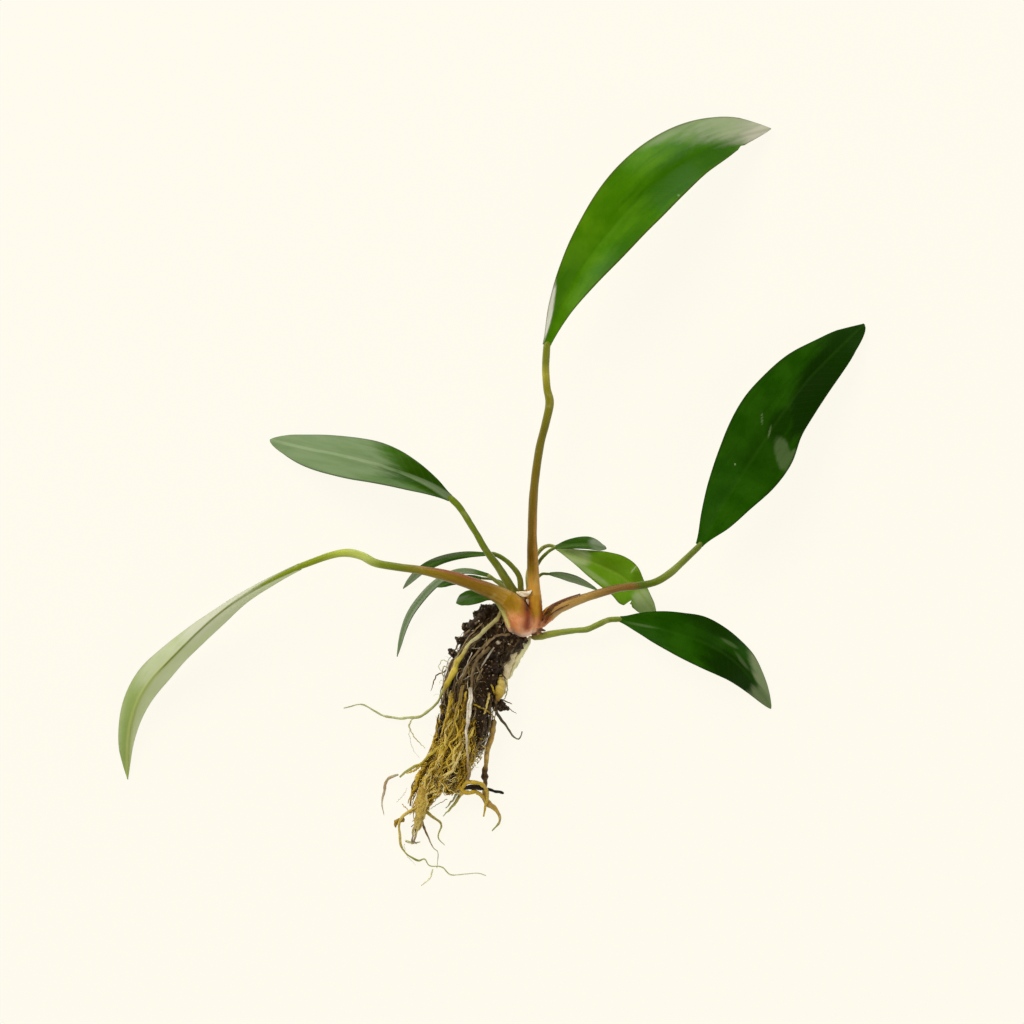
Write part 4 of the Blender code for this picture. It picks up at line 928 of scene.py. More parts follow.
# clumps of soil that stand out from the mass, (x, y, z, radius)
soilClumps = [(-10.9, -46.4, 7.4, 1.3), (-11.9, -45.5, 7, 0.7), (-0.8, -33.4, 9.5, 1.7),
    (1.6, -33.6, 8, 1.6), (-3.4, -35.2, 9, 1.6), (-7, -38.6, 8.5, 1.5), (8.2, -42.8, 7.5, 1.9),
    (10, -42.2, 7, 1.3), (6.6, -45, 8, 2), (4.6, -47, 9, 2.2), (0.6, -46.4, 12.4, 2.5),
    (0.3, -50.4, 12.4, 2.8), (0.5, -54.4, 11.6, 2.6), (2.4, -61.6, 9.2, 2), (3.6, -62.2, 8.8, 1.5),
    (5, -62.8, 8.6, 0.8), (-2.6, -69.4, 12, 2.4), (-3.4, -73.6, 10.6, 2.2), (-9, -80.6, 6, 2.6),
    (-11, -84.4, 4.8, 2.4), (-14, -86.4, 4.6, 2), (-17.4, -86, 4.2, 1.8), (-8.6, -85.4, 4.6, 1.6),
    (5.6, -42, 7.6, 2), (8.4, -43.8, 6.8, 1.6), (1.6, -55.8, 9, 2.3), (2.4, -51.6, 8.6, 2.2),
    (1.4, -59, 8.8, 2), (-13, -61, 9.8, 1.3), (-13.6, -65.5, 9, 1.3), (-14.2, -69.6, 9.2, 1.2),
    (-3, -61, 12.9, 2.1), (-2.6, -65.6, 12.2, 2.1), (8, -45.6, 6.4, 1.2), (-5.4, -38, 12, 1.3),
    (-8.8, -42.4, 11.4, 1.2), (-2, -35.4, 11.6, 1.2)]

# pale grains caught in the soil, (x, y, z, radius)
paleGrains = [(2.5, -42.9, 15.4, 0.62), (5.6, -43.4, 11.6, 0.28), (1, -52.6, 15.2, 0.24),
    (-3.2, -36.6, 12.6, 0.25), (-0.6, -56.6, 14.4, 0.22), (-5, -39.4, 13.4, 0.26)]

# from wet black peat to tan crumbs, by each crumb's own tone
crumbStops = [(0.0, "#140d08"), (0.4, "#302214"), (0.7, "#5a4630"), (0.92, "#8a7656"), (1.0, "#c4b99f")]


def soilMaterial(name, colours):
    # damp peaty potting soil: near-black and brown crumbs, tan fibres that run along the mass, a few
    # pale grains, and a wet glitter (roughness 0.45 on the wettest crumbs, 0.8 elsewhere); on the core
    # also pale dots painted as the glints of that wet glitter (painted highlight)
    material, add = newMaterial(name)
    crumbs = add("noise", add("place"), 900.0, 5.0, 0.7)
    wet = add("ramp", add("noise", add("place"), 420.0), 0.45, 0.6, 0.8, 0.45)
    coat(add, colours(add, crumbs), add("relief", crumbs, 0.9, 0.0006), {"Roughness": wet, "IOR": 1.45})
    return material


def crumbColours(add, crumbs):
    return setStops(add("stops", add("attribute", attribute_name="tone")), crumbStops)


def coreColours(add, crumbs):
    at = {key: add("attribute", attribute_name=key) for key in ("across", "along", "fibrous")}
    streaks = add("noise", add("vector", at["across"], add("times", at["along"], 0.16)), 1.0, 5.0, 0.65)
    fibres = add("times", add("ramp", streaks, 0.48, 0.66), add("ramp", crumbs, 0.35, 0.6, 0.35, 1.0))
    # painted highlight: pale dots that stand for the glints of the wet soil
    speck = add("ramp", add("cells", add("place"), 700.0), 0.10, 0.16, 1.0, 0.0)
    return layered(add, "#1a110a", (add("ramp", crumbs, 0.35, 0.7), "#46331f"),
        (add("times", fibres, at["fibrous"]), "#84704f"), (add("times", speck, 0.8), "#b3a78f"))


def soilDepth(share):
    # nearly full at the crown, thin between the strands lower down
    return np.interp(share, [0.0, 0.40, 0.55, 0.66, 0.80], [0.93, 0.90, 0.80, 0.52, 0.20])


def soil():
    # a core and many clods grown together, then roughened
    v = soilValues
    chance = random.Random(v["seed"])
    shares = np.linspace(0.02, v["end"], 30)
    centre = massPoint(shares, np.zeros(30), np.zeros(30))
    radii = massFine[(shares * (len(massFine) - 1)).astype(int), 3]
    routes = [np.column_stack([centre, radii * soilDepth(shares) * 0.86])]
    for _ in range(v["clods"]):
        share = chance.uniform(0.02, 0.72)
        angle = chance.uniform(0, fullTurn)
        size = chance.uniform(v["smallClod"], v["largeClod"])
        spot = massPoint(share, np.array(angle), soilDepth(share) - size / 9)
        lean = np.array([chance.uniform(-1, 1), chance.uniform(-1, 1), chance.uniform(-0.4, 0.4)])
        routes.append([(*(spot - lean), size * 0.8), (*spot, size), (*(spot + lean), size * 0.7)])
    for x, y, z, size in soilClumps:
        routes.append([(x - 0.6, y + 0.5, z, size * 0.8), (x, y, z, size), (x + 0.5, y - 0.6, z, size * 0.6)])
    points, normals, faces = grownTogether("soil", routes, v["voxel"], v["smoothing"])
    rough = []
    for p in points:
        where = Vector(p)
        lumps = v["lump"] * noise.fractal(where * 0.7, 0.7, 2.1, 5)
        rough.append(lumps + v["fine"] * noise.noise(where * 2.6))
    points = points + normals * np.clip(rough, -1.0, 0.7)[:, None]
    steps = [nearestMass(x, y) for x, y in points[:, :2]]
    across = np.einsum("ij,ij->i", points[:, :2] - massFine[steps, :2], massSide[steps, :2])
    values = {"across": across, "along": np.array(steps) * 0.32, "fibrous": 1.0 - bareness(points)}
    return meshPiece("soilCore", points, faces, soilMaterial("dampPeatSoil", coreColours), values)


def grains():
    # perlite grains: pale, rough, rounded
    material, add = newMaterial("perliteGrain")
    mottle = add("ramp", add("noise", add("place"), 1500.0), 0.35, 0.65)
    coat(add, add("blend", mottle, "#c3b7a0", "#8e7f69"), None, {"Roughness": 0.8})
    tubes = Tubes()
    for x, y, z, radius in paleGrains:
        tubes.add([(x - radius / 3, y, z), (x + radius / 3, y, z)], [radius, radius * 0.9], sides=10)
    return tubes.piece("soilGrains", material)


# Small things strewn over a surface with geometry nodes: soil crumbs and root hairs

def crumbShape(add, given):
    return add("GeometryNodeMeshIcoSphere", {"Radius": 1.0, "Subdivisions": 1})


def hairShape(add, given):
    # a curled hair, one unit long, that thins out to its tip
    curl = add("GeometryNodeCurveSpiral", {"Resolution": given["steps"], "Rotations": given["turns"],
        "Start Radius": given["innerCurl"], "End Radius": given["outerCurl"], "Height": 1.0})
    thin = add("ShaderNodeMapRange",
        {"Value": add("GeometryNodeSplineParameter"), "To Min": 1.0, "To Max": 0.3})
    ring = add("GeometryNodeCurvePrimitiveCircle", {"Resolution": 3, "Radius": given["thickness"]})
    return add("GeometryNodeCurveToMesh",
        {"Curve": curl, "Profile Curve": ring, "Scale": thin, "Fill Caps": True})


def scatter(name, surface, shape, material, values):
    # strews copies of a small shape over a surface and gives them back as one plain mesh
    tree = bpy.data.node_groups.new(name, "GeometryNodeTree")
    add = partial(node, tree)
    tree.interface.new_socket("Geometry", in_out="INPUT", socket_type="NodeSocketGeometry")
    sockets = {}
    for key, value in values.items():
        kind = "NodeSocketInt" if isinstance(value, int) else "NodeSocketFloat"
        sockets[key] = tree.interface.new_socket(key, in_out="INPUT", socket_type=kind).identifier
    tree.interface.new_socket("Geometry", in_out="OUTPUT", socket_type="NodeSocketGeometry")
    given = add("NodeGroupInput").node.outputs
    spots = add("GeometryNodeDistributePointsOnFaces",
        {"Mesh": given["Geometry"], "Density": given["perSquareMetre"], "Seed": given["seed"]}).node.outputs
    down = add("times", given["tilt"], -1.0)
    tilts = [add("vector", lean, lean, spin) for lean, spin in ((down, 0.0), (given["tilt"], fullTurn))]
    turned = add("FunctionNodeRotateRotation",
        {"Rotation": spots["Rotation"], "Rotate By": add("random", *tilts)}, rotation_space="LOCAL")
    sizes = [add("vector", given[key], given[key], given[key]) for key in ("smallest", "largest")]
    copies = add("GeometryNodeInstanceOnPoints", {"Points": spots["Points"], "Instance": shape(add, given),
        "Rotation": turned, "Scale": add("random", *sizes, 7)})
    tone = add("FunctionNodeRandomValue", {2: 0.0, 3: 1.0, 8: 11}, data_type="FLOAT").node.outputs[1]
    copies = add("GeometryNodeStoreNamedAttribute", {"Geometry": copies, "Name": "tone", "Value": tone},
        data_type="FLOAT", domain="INSTANCE")
    real = add("GeometryNodeRealizeInstances", {"Geometry": copies})
    coated = add("GeometryNodeSetMaterial", {"Geometry": real, "Material": material})
    add("NodeGroupOutput", {"Geometry": coated})
    modifier = surface.modifiers.new(name, "NODES")
    modifier.node_group = tree
    for key, value in values.items():
        modifier[sockets[key]] = value
    made = bpy.data.meshes.new_from_object(surface.evaluated_get(bpy.context.evaluated_depsgraph_get()))
    surface.modifiers.remove(modifier)
    places = readColumns(made.vertices, "co", 3)
    places[:, 2] = np.maximum(places[:, 2], floorLevel * mm)
    made.vertices.foreach_set("co", places.reshape(-1))
    made.update()
    return addPiece(name, made)


soilPiece = soil()
crumbPiece = scatter("soilCrumbs", soilPiece, crumbShape, soilMaterial("looseSoilCrumb", crumbColours),
    dict(perSquareMetre=400000.0, smallest=0.00010, largest=0.00042, tilt=3.1, seed=4))
for piece in (soilPiece, crumbPiece, grains()):
    place(piece, "soil_dark", "root_ball")
print("soil made")


def dirtByHeight(add, most=0.72):
    # roots are muddy near the crown and clean lower down
    y = add("ShaderNodeSeparateXYZ", {0: add("place")}).node.outputs[1]
    return add("ramp", y, -0.078, -0.047, 0.18, most)


def rootMaterial(name, value, stops, dirt, muddy=None, gloss=0.45):
    # live and dead roots: skin whose colour runs along stops, lengthwise wrinkles, soil stains where
    # muddy says, a dull moist surface (roughness 0.45, IOR 1.40)
    material, add = newMaterial(name)
    at = {key: add("attribute", attribute_name=key) for key in sorted({"share", "around", value})}
    lengthwise = add("vector", add("times", at["around"], 6.0), add("times", at["share"], 20.0))
    wrinkle = add("noise", lengthwise, 2.0)
    mottle = add("noise", add("place"), 500.0, 4.0)
    colour = setStops(add("stops", at[value]), stops)
    colour = add("stain", add("ramp", wrinkle, 0.5, 0.75, 0.0, 0.35), colour, "#8a7040")
    stain = add("times", add("ramp", mottle, 0.44, 0.58), muddy(add) if muddy else 0.35)
    coat(add, add("blend", stain, colour, dirt), add("relief", wrinkle, 0.5, 0.0002),
        {"Roughness": gloss, "IOR": 1.40})
    return material


strandStops = [(0.0, "#40300f"), (0.25, "#8f6f1a"), (0.5, "#c6a22a"), (0.75, "#dcbf48"), (1.0, "#ecdca0")]
muddyStops = [(0.0, "#3c2c1c"), (0.35, "#7c6742"), (0.7, "#b29c72"), (1.0, "#dcd3ba")]
hairStops = [(0.0, "#a0842c"), (0.4, "#c9ae4c"), (1.0, "#efe4b8")]
strandMaterial = rootMaterial("matRootStrand", "tone", strandStops, "#3b2a17", dirtByHeight)
muddyMaterial = rootMaterial("muddyRootStrand", "tone", muddyStops, "#3a2a1a",
    partial(dirtByHeight, most=0.5))
hairMaterial = rootMaterial("paleRootHair", "tone", hairStops, "#7a6434", dirtByHeight)

# the ropes of roots that the mass runs out into: route (x, y, z), how far their strands spread at the
# start, in the middle and at the end, and how many strands
ropes = [
    ([(-12.2, -57.2, 9), (-13.7, -62, 8.5), (-14.6, -66.8, 8), (-15.5, -72.2, 7.5), (-17.3, -77, 6.5),
        (-19.7, -81.3, 5.5), (-21.8, -84.9, 5), (-23, -88.8, 4), (-24.2, -92.8, 3.2)], (2, 1.5, 1.2), 20),
    ([(-10.3, -57.6, 13.5), (-11.2, -63.6, 13.2), (-12.4, -70.4, 12.5), (-14.5, -75.9, 11),
        (-16.3, -80.4, 9.5), (-18.5, -85, 7.5), (-20.3, -89, 6), (-21.2, -93.3, 4.6),
        (-21.5, -97.6, 3.4)], (1.8, 1.6, 1.9), 26),
    ([(-7.9, -59.3, 15), (-9.1, -66.5, 14.6), (-10, -72.4, 13.6), (-11.8, -77.9, 12.2),
        (-13.9, -82.5, 10.2), (-16.1, -86.5, 8.2), (-18.8, -90.2, 6.4), (-20.6, -94.5, 4.8)],
        (1.8, 2.6, 1.9), 40),
    ([(-4.4, -62, 14.4), (-5.6, -70.4, 13.6), (-6.8, -77, 12), (-8.3, -81.9, 10.2), (-10.4, -85.9, 8.2),
        (-13.1, -88.7, 6)], (2, 2, 1.4), 28),
    ([(-2.9, -64.6, 11), (-3.8, -71.5, 10), (-6.2, -77.2, 8.5), (-7.6, -81.8, 6.5), (-9.8, -86.1, 4.8),
        (-12.5, -88.9, 3.6)], (1.6, 1.6, 1.2), 16),
    ([(-9.8, -76.5, 6), (-12.2, -81, 5.5), (-14.6, -84.9, 5), (-17.3, -88.2, 4.4), (-19.7, -91.5, 4),
        (-21.2, -95.8, 3), (-22.2, -99.6, 2.4)], (2.2, 2, 1.4), 26),
]
strandValues = dict(seed=5, ridges=32, wisps=300, tangle=260,
    ropeThick=(0.08, 0.11, 0.15, 0.2, 0.28, 0.38, 0.5))


def wander(chance, share, size, slowest=2.0, fastest=7.0):
    # a sum of slow waves, different for each strand
    total = np.zeros_like(share)
    for _ in range(3):
        total += np.sin(fullTurn * (share * chance.uniform(slowest, fastest) + chance.random()))
    return total * size / 2.6


def tapered(points, places, sizes):
    return np.interp(np.linspace(0, 1, points), places, sizes)


def skinStrands(tubes, chance, count, fine):
    # strands that run down the outside of the soil, sinking into it here and there
    for _ in range(count):
        start = chance.uniform(0.03, 0.35) if not fine else chance.betavariate(2.0, 1.5) * 0.74
        end = chance.uniform(0.40, 0.68) if not fine else min(0.76, start + chance.uniform(0.05, 0.20))
        points = 16 if fine else 44
        share = np.linspace(start, end, points)
        angle = chance.uniform(0, fullTurn) + wander(chance, share, 0.5 if fine else 0.22)
        if fine:
            angle += chance.uniform(-1.1, 1.1) * np.linspace(0, 1, points)
        depth = np.maximum(soilDepth(share) + (0.07 if fine else 0.0), 0.72)
        depth = depth + wander(chance, share, 0.10 if fine else 0.09)
        thick = chance.uniform(0.05, 0.16) if fine else chance.uniform(0.22, 0.46)
        taper = tapered(points, [0, 0.15, 0.8, 1], [0.6, 1.0, 0.85, 0.3])
        knots = 1 + 0.22 * wander(chance, share, 1.0, 12, 34)
        tone = chance.betavariate(1.4, 1.6) if fine else chance.uniform(0.05, 0.7)
        line = massPoint(share, angle, np.clip(depth, 0.2, 1.06))
        line = massPoint(share, angle, np.clip(depth, 0.2, 1.06) - 0.28 * bareness(line))
        tubes.add(line, thick * taper * knots, tone, sides=5 if fine else 9)


def ropeStrands(tubes, chance, points=34):
    for route, spreads, count in ropes:
        line = evenSteps(route, 60)
        for _ in range(count):
            start, end = chance.uniform(0.0, 0.4), chance.uniform(0.72, 1.0)
            share = np.linspace(start, end, points)
            core = np.stack([np.interp(share * 59, np.arange(60), values) for values in line.T], axis=1)
            spread = np.interp(share, [0.0, 0.5, 1.0], spreads) * chance.uniform(0.2, 1.0)
            turn = chance.uniform(0, fullTurn) + share * chance.uniform(-5, 5) + wander(chance, share, 0.9)
            side = np.cross(directions(core), up)
            core = core + side * (spread * np.cos(turn))[:, None]
            core = core + up * (spread * 0.8 * np.sin(turn))[:, None]
            thick = chance.choice(strandValues["ropeThick"])
            core[:, 0] += wander(chance, share, 0.45, 3, 14)
            core[:, 1] += wander(chance, share, 0.35, 3, 14)
            core[:, 2] = np.maximum(core[:, 2] - 3.0 * bareness(core), thick + 0.05)
            taper = tapered(points, [0, 0.1, 0.8, 1], [0.8, 1.0, 0.95, 0.5])
            tone = chance.betavariate(1.5, 1.3) * (0.75 + 0.5 * thick)
            tubes.add(core, thick * taper * (1 + 0.15 * wander(chance, share, 1.0, 8, 20)), tone, sides=7)


def tangleStrands(tubes, chance, count, points=18):
    # thin curly rootlets that cross the ropes in all directions
    for _ in range(count):
        line = evenSteps(chance.choices([rope[0] for rope in ropes], weights=(3, 3, 7, 5, 2, 2))[0], 60)
        at = int(chance.uniform(0.15, 0.85) * 58)
        heading = line[at + 1] - line[at]
        heading = math.atan2(heading[1], heading[0]) + chance.gauss(0, 0.8)
        step = chance.uniform(2.5, 8.0) / (points - 1)
        share = np.linspace(0.0, 1.0, points)
        turn = heading + wander(chance, share, 1.0, 0.5, 3.5)
        x = line[at, 0] + chance.uniform(-1.6, 1.6) + np.cumsum(np.cos(turn)) * step
        y = line[at, 1] + chance.uniform(-1.6, 1.6) + np.cumsum(np.sin(turn)) * step
        sunk = chance.uniform(0.45, 1.04)
        z = np.array([max(0.25, massTop(a, b) * sunk) for a, b in zip(x, y)])
        z = np.minimum(z, line[at, 2] + 2.2) + wander(chance, share, 0.3, 1, 4)
        curl = withinMass(np.column_stack([x, y, z]), 0.96)
        curl[:, 2] = np.maximum(z - 4.0 * bareness(curl), 0.25)
        # the gap between the tail and the low forks stays open
        curl = curl[(curl[:, 1] > -88.4) | (curl[:, 0] < -18.0)]
        if len(curl) < 6:
            continue
        tubes.add(curl, chance.uniform(0.06, 0.20), 0.2 + 0.8 * chance.betavariate(1.8, 1.2), sides=5)


def strands():
    v = strandValues
    chance = random.Random(v["seed"])
    skin, tails = Tubes(), Tubes()
    skinStrands(skin, chance, v["ridges"], False)
    skinStrands(skin, chance, v["wisps"], True)
    ropeStrands(tails, chance)
    tangleStrands(tails, chance, v["tangle"])
    return skin.piece("soilStrands", muddyMaterial), tails.piece("rootStrands", strandMaterial)


strandPieces = strands()
hairShapeValues = dict(tilt=1.3, steps=7, turns=0.6, innerCurl=0.05, outerCurl=0.4, thickness=0.034)
hairPiece = scatter("rootHairs", strandPieces[1], hairShape, hairMaterial,
    dict(perSquareMetre=150000.0, smallest=0.0008, largest=0.0020, seed=9, **hairShapeValues))
soilHairPiece = scatter("soilHairs", strandPieces[0], hairShape, hairMaterial,
    dict(perSquareMetre=90000.0, smallest=0.0012, largest=0.0032, seed=12, **hairShapeValues))
for piece in (*strandPieces, hairPiece, soilHairPiece):
    place(piece, "root_yellow", "root_ball")


# Rootlets that stand away from the mass, or were seen on its skin: route, radius at its start, tone.
# Points with a height (x, y, z) stand free, points (x, y) lie on the skin of the mass.
rootlets = {
    "leftHair": ([(-13.1, -51.6, 8), (-15.8, -52.9, 6), (-16.7, -54.7, 5), (-17.6, -57.7, 4)], 0.22,
        0.15),
    "leftLoop": ([(-11.9, -49.5, 9), (-14, -48.3, 8), (-15.2, -50.4, 7), (-14, -52.5, 7)], 0.13, 0.8),
    "leftLoopLow": ([(-12.2, -50.8, 9), (-13.6, -50.2, 8.6), (-14.2, -52, 8), (-13.2, -54.6, 7.6)], 0.2,
        0.75),
    "longBranch": ([(-23, -65.8, 3.6), (-24.2, -68.2, 3.4), (-22.4, -71.8, 3.4), (-19.4, -74.8, 4.4)],
        0.2, 0.9),
    "longLoop": ([(-23.6, -67, 3.4), (-24.2, -70, 3), (-23.3, -74.6, 2.4), (-21.2, -77.9, 2.4)], 0.09, 1),
    "clumpSpike": ([(4.4, -61.8, 8.6), (6, -63, 8.2), (8, -64.4, 7.6)], 0.14, 0.1),
    "clumpSpikeUpper": ([(3.4, -60, 9.4), (5.2, -60.8, 9.2), (6.6, -61.4, 8.8)], 0.2, 0.1),
    "clumpSpikeTop": ([(2.8, -53.2, 12), (4, -53, 12.2), (5, -54, 12)], 0.22, 0.05),
    "tailNub": ([(-26, -96.2, 4), (-28, -96.9, 3), (-28.3, -98.5, 2.4)], 0.75, 0.35),
    "stumpFoot": ([(-25.2, -102.8, 1.4), (-23.1, -103.4, 1.8), (-21, -103.1, 1.4)], 0.36, 0.85),
    "leftProng": ([(-20.5, -79.8, 6), (-22.8, -81.6, 4.4), (-25.4, -82.4, 3.4)], 0.36, 0.7),
    "leftStray": ([(-27.9, -91.1, 1.4), (-25.7, -88.6, 2.4), (-24.8, -86.8, 3.4)], 0.1, 1),
    "leftStrayLow": ([(-26.4, -91.7, 1.6), (-24.5, -93.4, 2.6), (-23.4, -94.6, 3)], 0.14, 0.6),
    "lowThread": ([(-12.8, -90.1, 3.5), (-15.5, -91.6, 3), (-18.5, -93.4, 3)], 0.12, 0.8),
    "bottomHair": ([(-25.8, -103.6, 1.6), (-25, -107, 1), (-22.2, -110.2, 0.6)], 0.07, 0.95),
    "forkInner": ([(-9.5, -87.8, 6), (-11.3, -90.6, 4), (-13.2, -92.8, 2.6)], 0.36, 0.75),
    "archOver": ([(-8.6, -88.2, 6.6), (-7.8, -85.6, 9.6), (-5.9, -84.6, 11.2), (-3.2, -84.9, 11),
        (-1.1, -86.6, 9.4), (-0.8, -89.6, 6.2), (-1.4, -92.1, 4.5), (-1.8, -95.2, 3.5)], 0.68, 0.62),
    "archUnder": ([(-8.6, -86.6, 8.4), (-6.9, -87.9, 9.2), (-4.7, -87.5, 9.4), (-2.6, -88.6, 7.4),
        (-1.2, -91, 4.6)], 0.72, 0.55),
    "paleEdge": ([(-6.8, -43.4), (-8.8, -45.7), (-10.3, -48.1), (-11.2, -50.5)], 0.24, 0.7),
    "mudRidge": ([(-0.2, -44.6), (-1.7, -46), (-3.8, -48.1), (-5, -51.4), (-5.3, -54.6), (-5.6, -58.2)],
        0.62, 0.42),
    "underCrown": ([(8.1, -41), (5.1, -40.7), (2.1, -41), (-0.5, -43.1), (-2.3, -45.7)], 0.42, 0.55),
    "whiteHairUpper": ([(-5.6, -44.6), (-2.9, -44.6), (-1.1, -44)], 0.12, 1),
    "whiteHairMiddle": ([(-5.3, -46), (-6.5, -48.7), (-7.9, -51.7), (-9.4, -54.6)], 0.17, 1),
    "whiteHairLow": ([(-3.5, -51.7), (-5.9, -52.9), (-7.9, -54)], 0.1, 1),
    "tanRidge": ([(-3.5, -36.8), (-5.9, -39.2), (-7.9, -41.3), (-9.7, -44), (-11.2, -46.6)], 0.38, 0.4),
    "innerRidge": ([(0.1, -42.2), (-2.9, -45.1), (-5.9, -48.7), (-7.6, -52.3), (-9.1, -55.8)], 0.4, 0.45),
    "edgeRidge": ([(-10.9, -50.5), (-12.4, -54), (-13.3, -57), (-14.2, -60.6)], 0.5, 0.6),
    "leftTan": ([(-11.2, -58.2), (-12.1, -61.8), (-13, -65.9), (-14.5, -70.4)], 0.5, 0.6),
    "middleTan": ([(-7, -57.6), (-7.6, -61.5), (-8.2, -65.9), (-9.1, -70.4)], 0.38, 0.6),
    "rightPale": ([(-0.2, -58.2), (-0.5, -60), (-1.1, -62.4), (-2.3, -66.5)], 0.36, 0.85),
    "crossOlive": ([(-4.7, -61.2), (-1.7, -62.7), (1, -65), (1.8, -68)], 0.26, 0.55),
    "topBrown": ([(1, -37.6), (-1.4, -39.4), (-3.6, -42.4), (-6.4, -45.2), (-8.6, -49)], 0.36, 0.35),
    "topTan": ([(-1, -36.2), (-3.6, -38.6), (-6.6, -41.8), (-8.8, -45.6), (-10.6, -49.6)], 0.24, 0.6),
    "budHairUpper": ([(1.4, -52.4), (2.4, -54.4), (2.6, -57), (1.8, -60.2)], 0.3, 0.7),
    "budHairLow": ([(0.4, -55.4), (1.2, -57.4), (1.8, -60), (1.6, -62.6)], 0.34, 0.6),
    "budCurl": ([(4.6, -54, 9), (5.2, -56.4, 9), (4.8, -59, 9), (3.4, -61, 9)], 0.2, 0.8),
}
paleStops = [(0.0, "#b9b482"), (0.9, "#c8c68e"), (1.0, "#dcdab8")]
paleMaterial = rootMaterial("paleRootlet", "tone", paleStops, "#c0b078")


def rootletPiece(name, material, group):
    chance = random.Random(21)
    tubes = Tubes()
    for route, radius, tone in rootlets.values():
        found = "pale" if tone >= 0.75 else "brown"
        if len(route[0]) == 2:
            found = "muddy" if route[0][1] > -55.0 else "brown"
        if found != group:
            continue
        points = evenSteps([p if len(p) == 3 else (*p, massTop(*p) - 0.3) for p in route], 36)
        share = np.linspace(0.0, 1.0, 36)
        for axis in (0, 1):
            points[:, axis] += wander(chance, share, 0.14, 2, 7)
        size = radius * np.interp(share, [0, 0.7, 1], [1.0, 0.8, 0.35])
        size = size * (1 + 0.18 * wander(chance, share, 1.0, 4, 12))
        points[:, 2] = np.maximum(points[:, 2], size + floorLevel)
        tubes.add(points, size, tone, sides=8)
    return tubes.piece(name, material)


for name, material, group in (("fineRootlets", strandMaterial, "brown"),
        ("paleRootlets", paleMaterial, "pale"), ("muddyRootlets", muddyMaterial, "muddy")):
    place(rootletPiece(name, material, group), "root_yellow", "root_ball")
print("strands made")


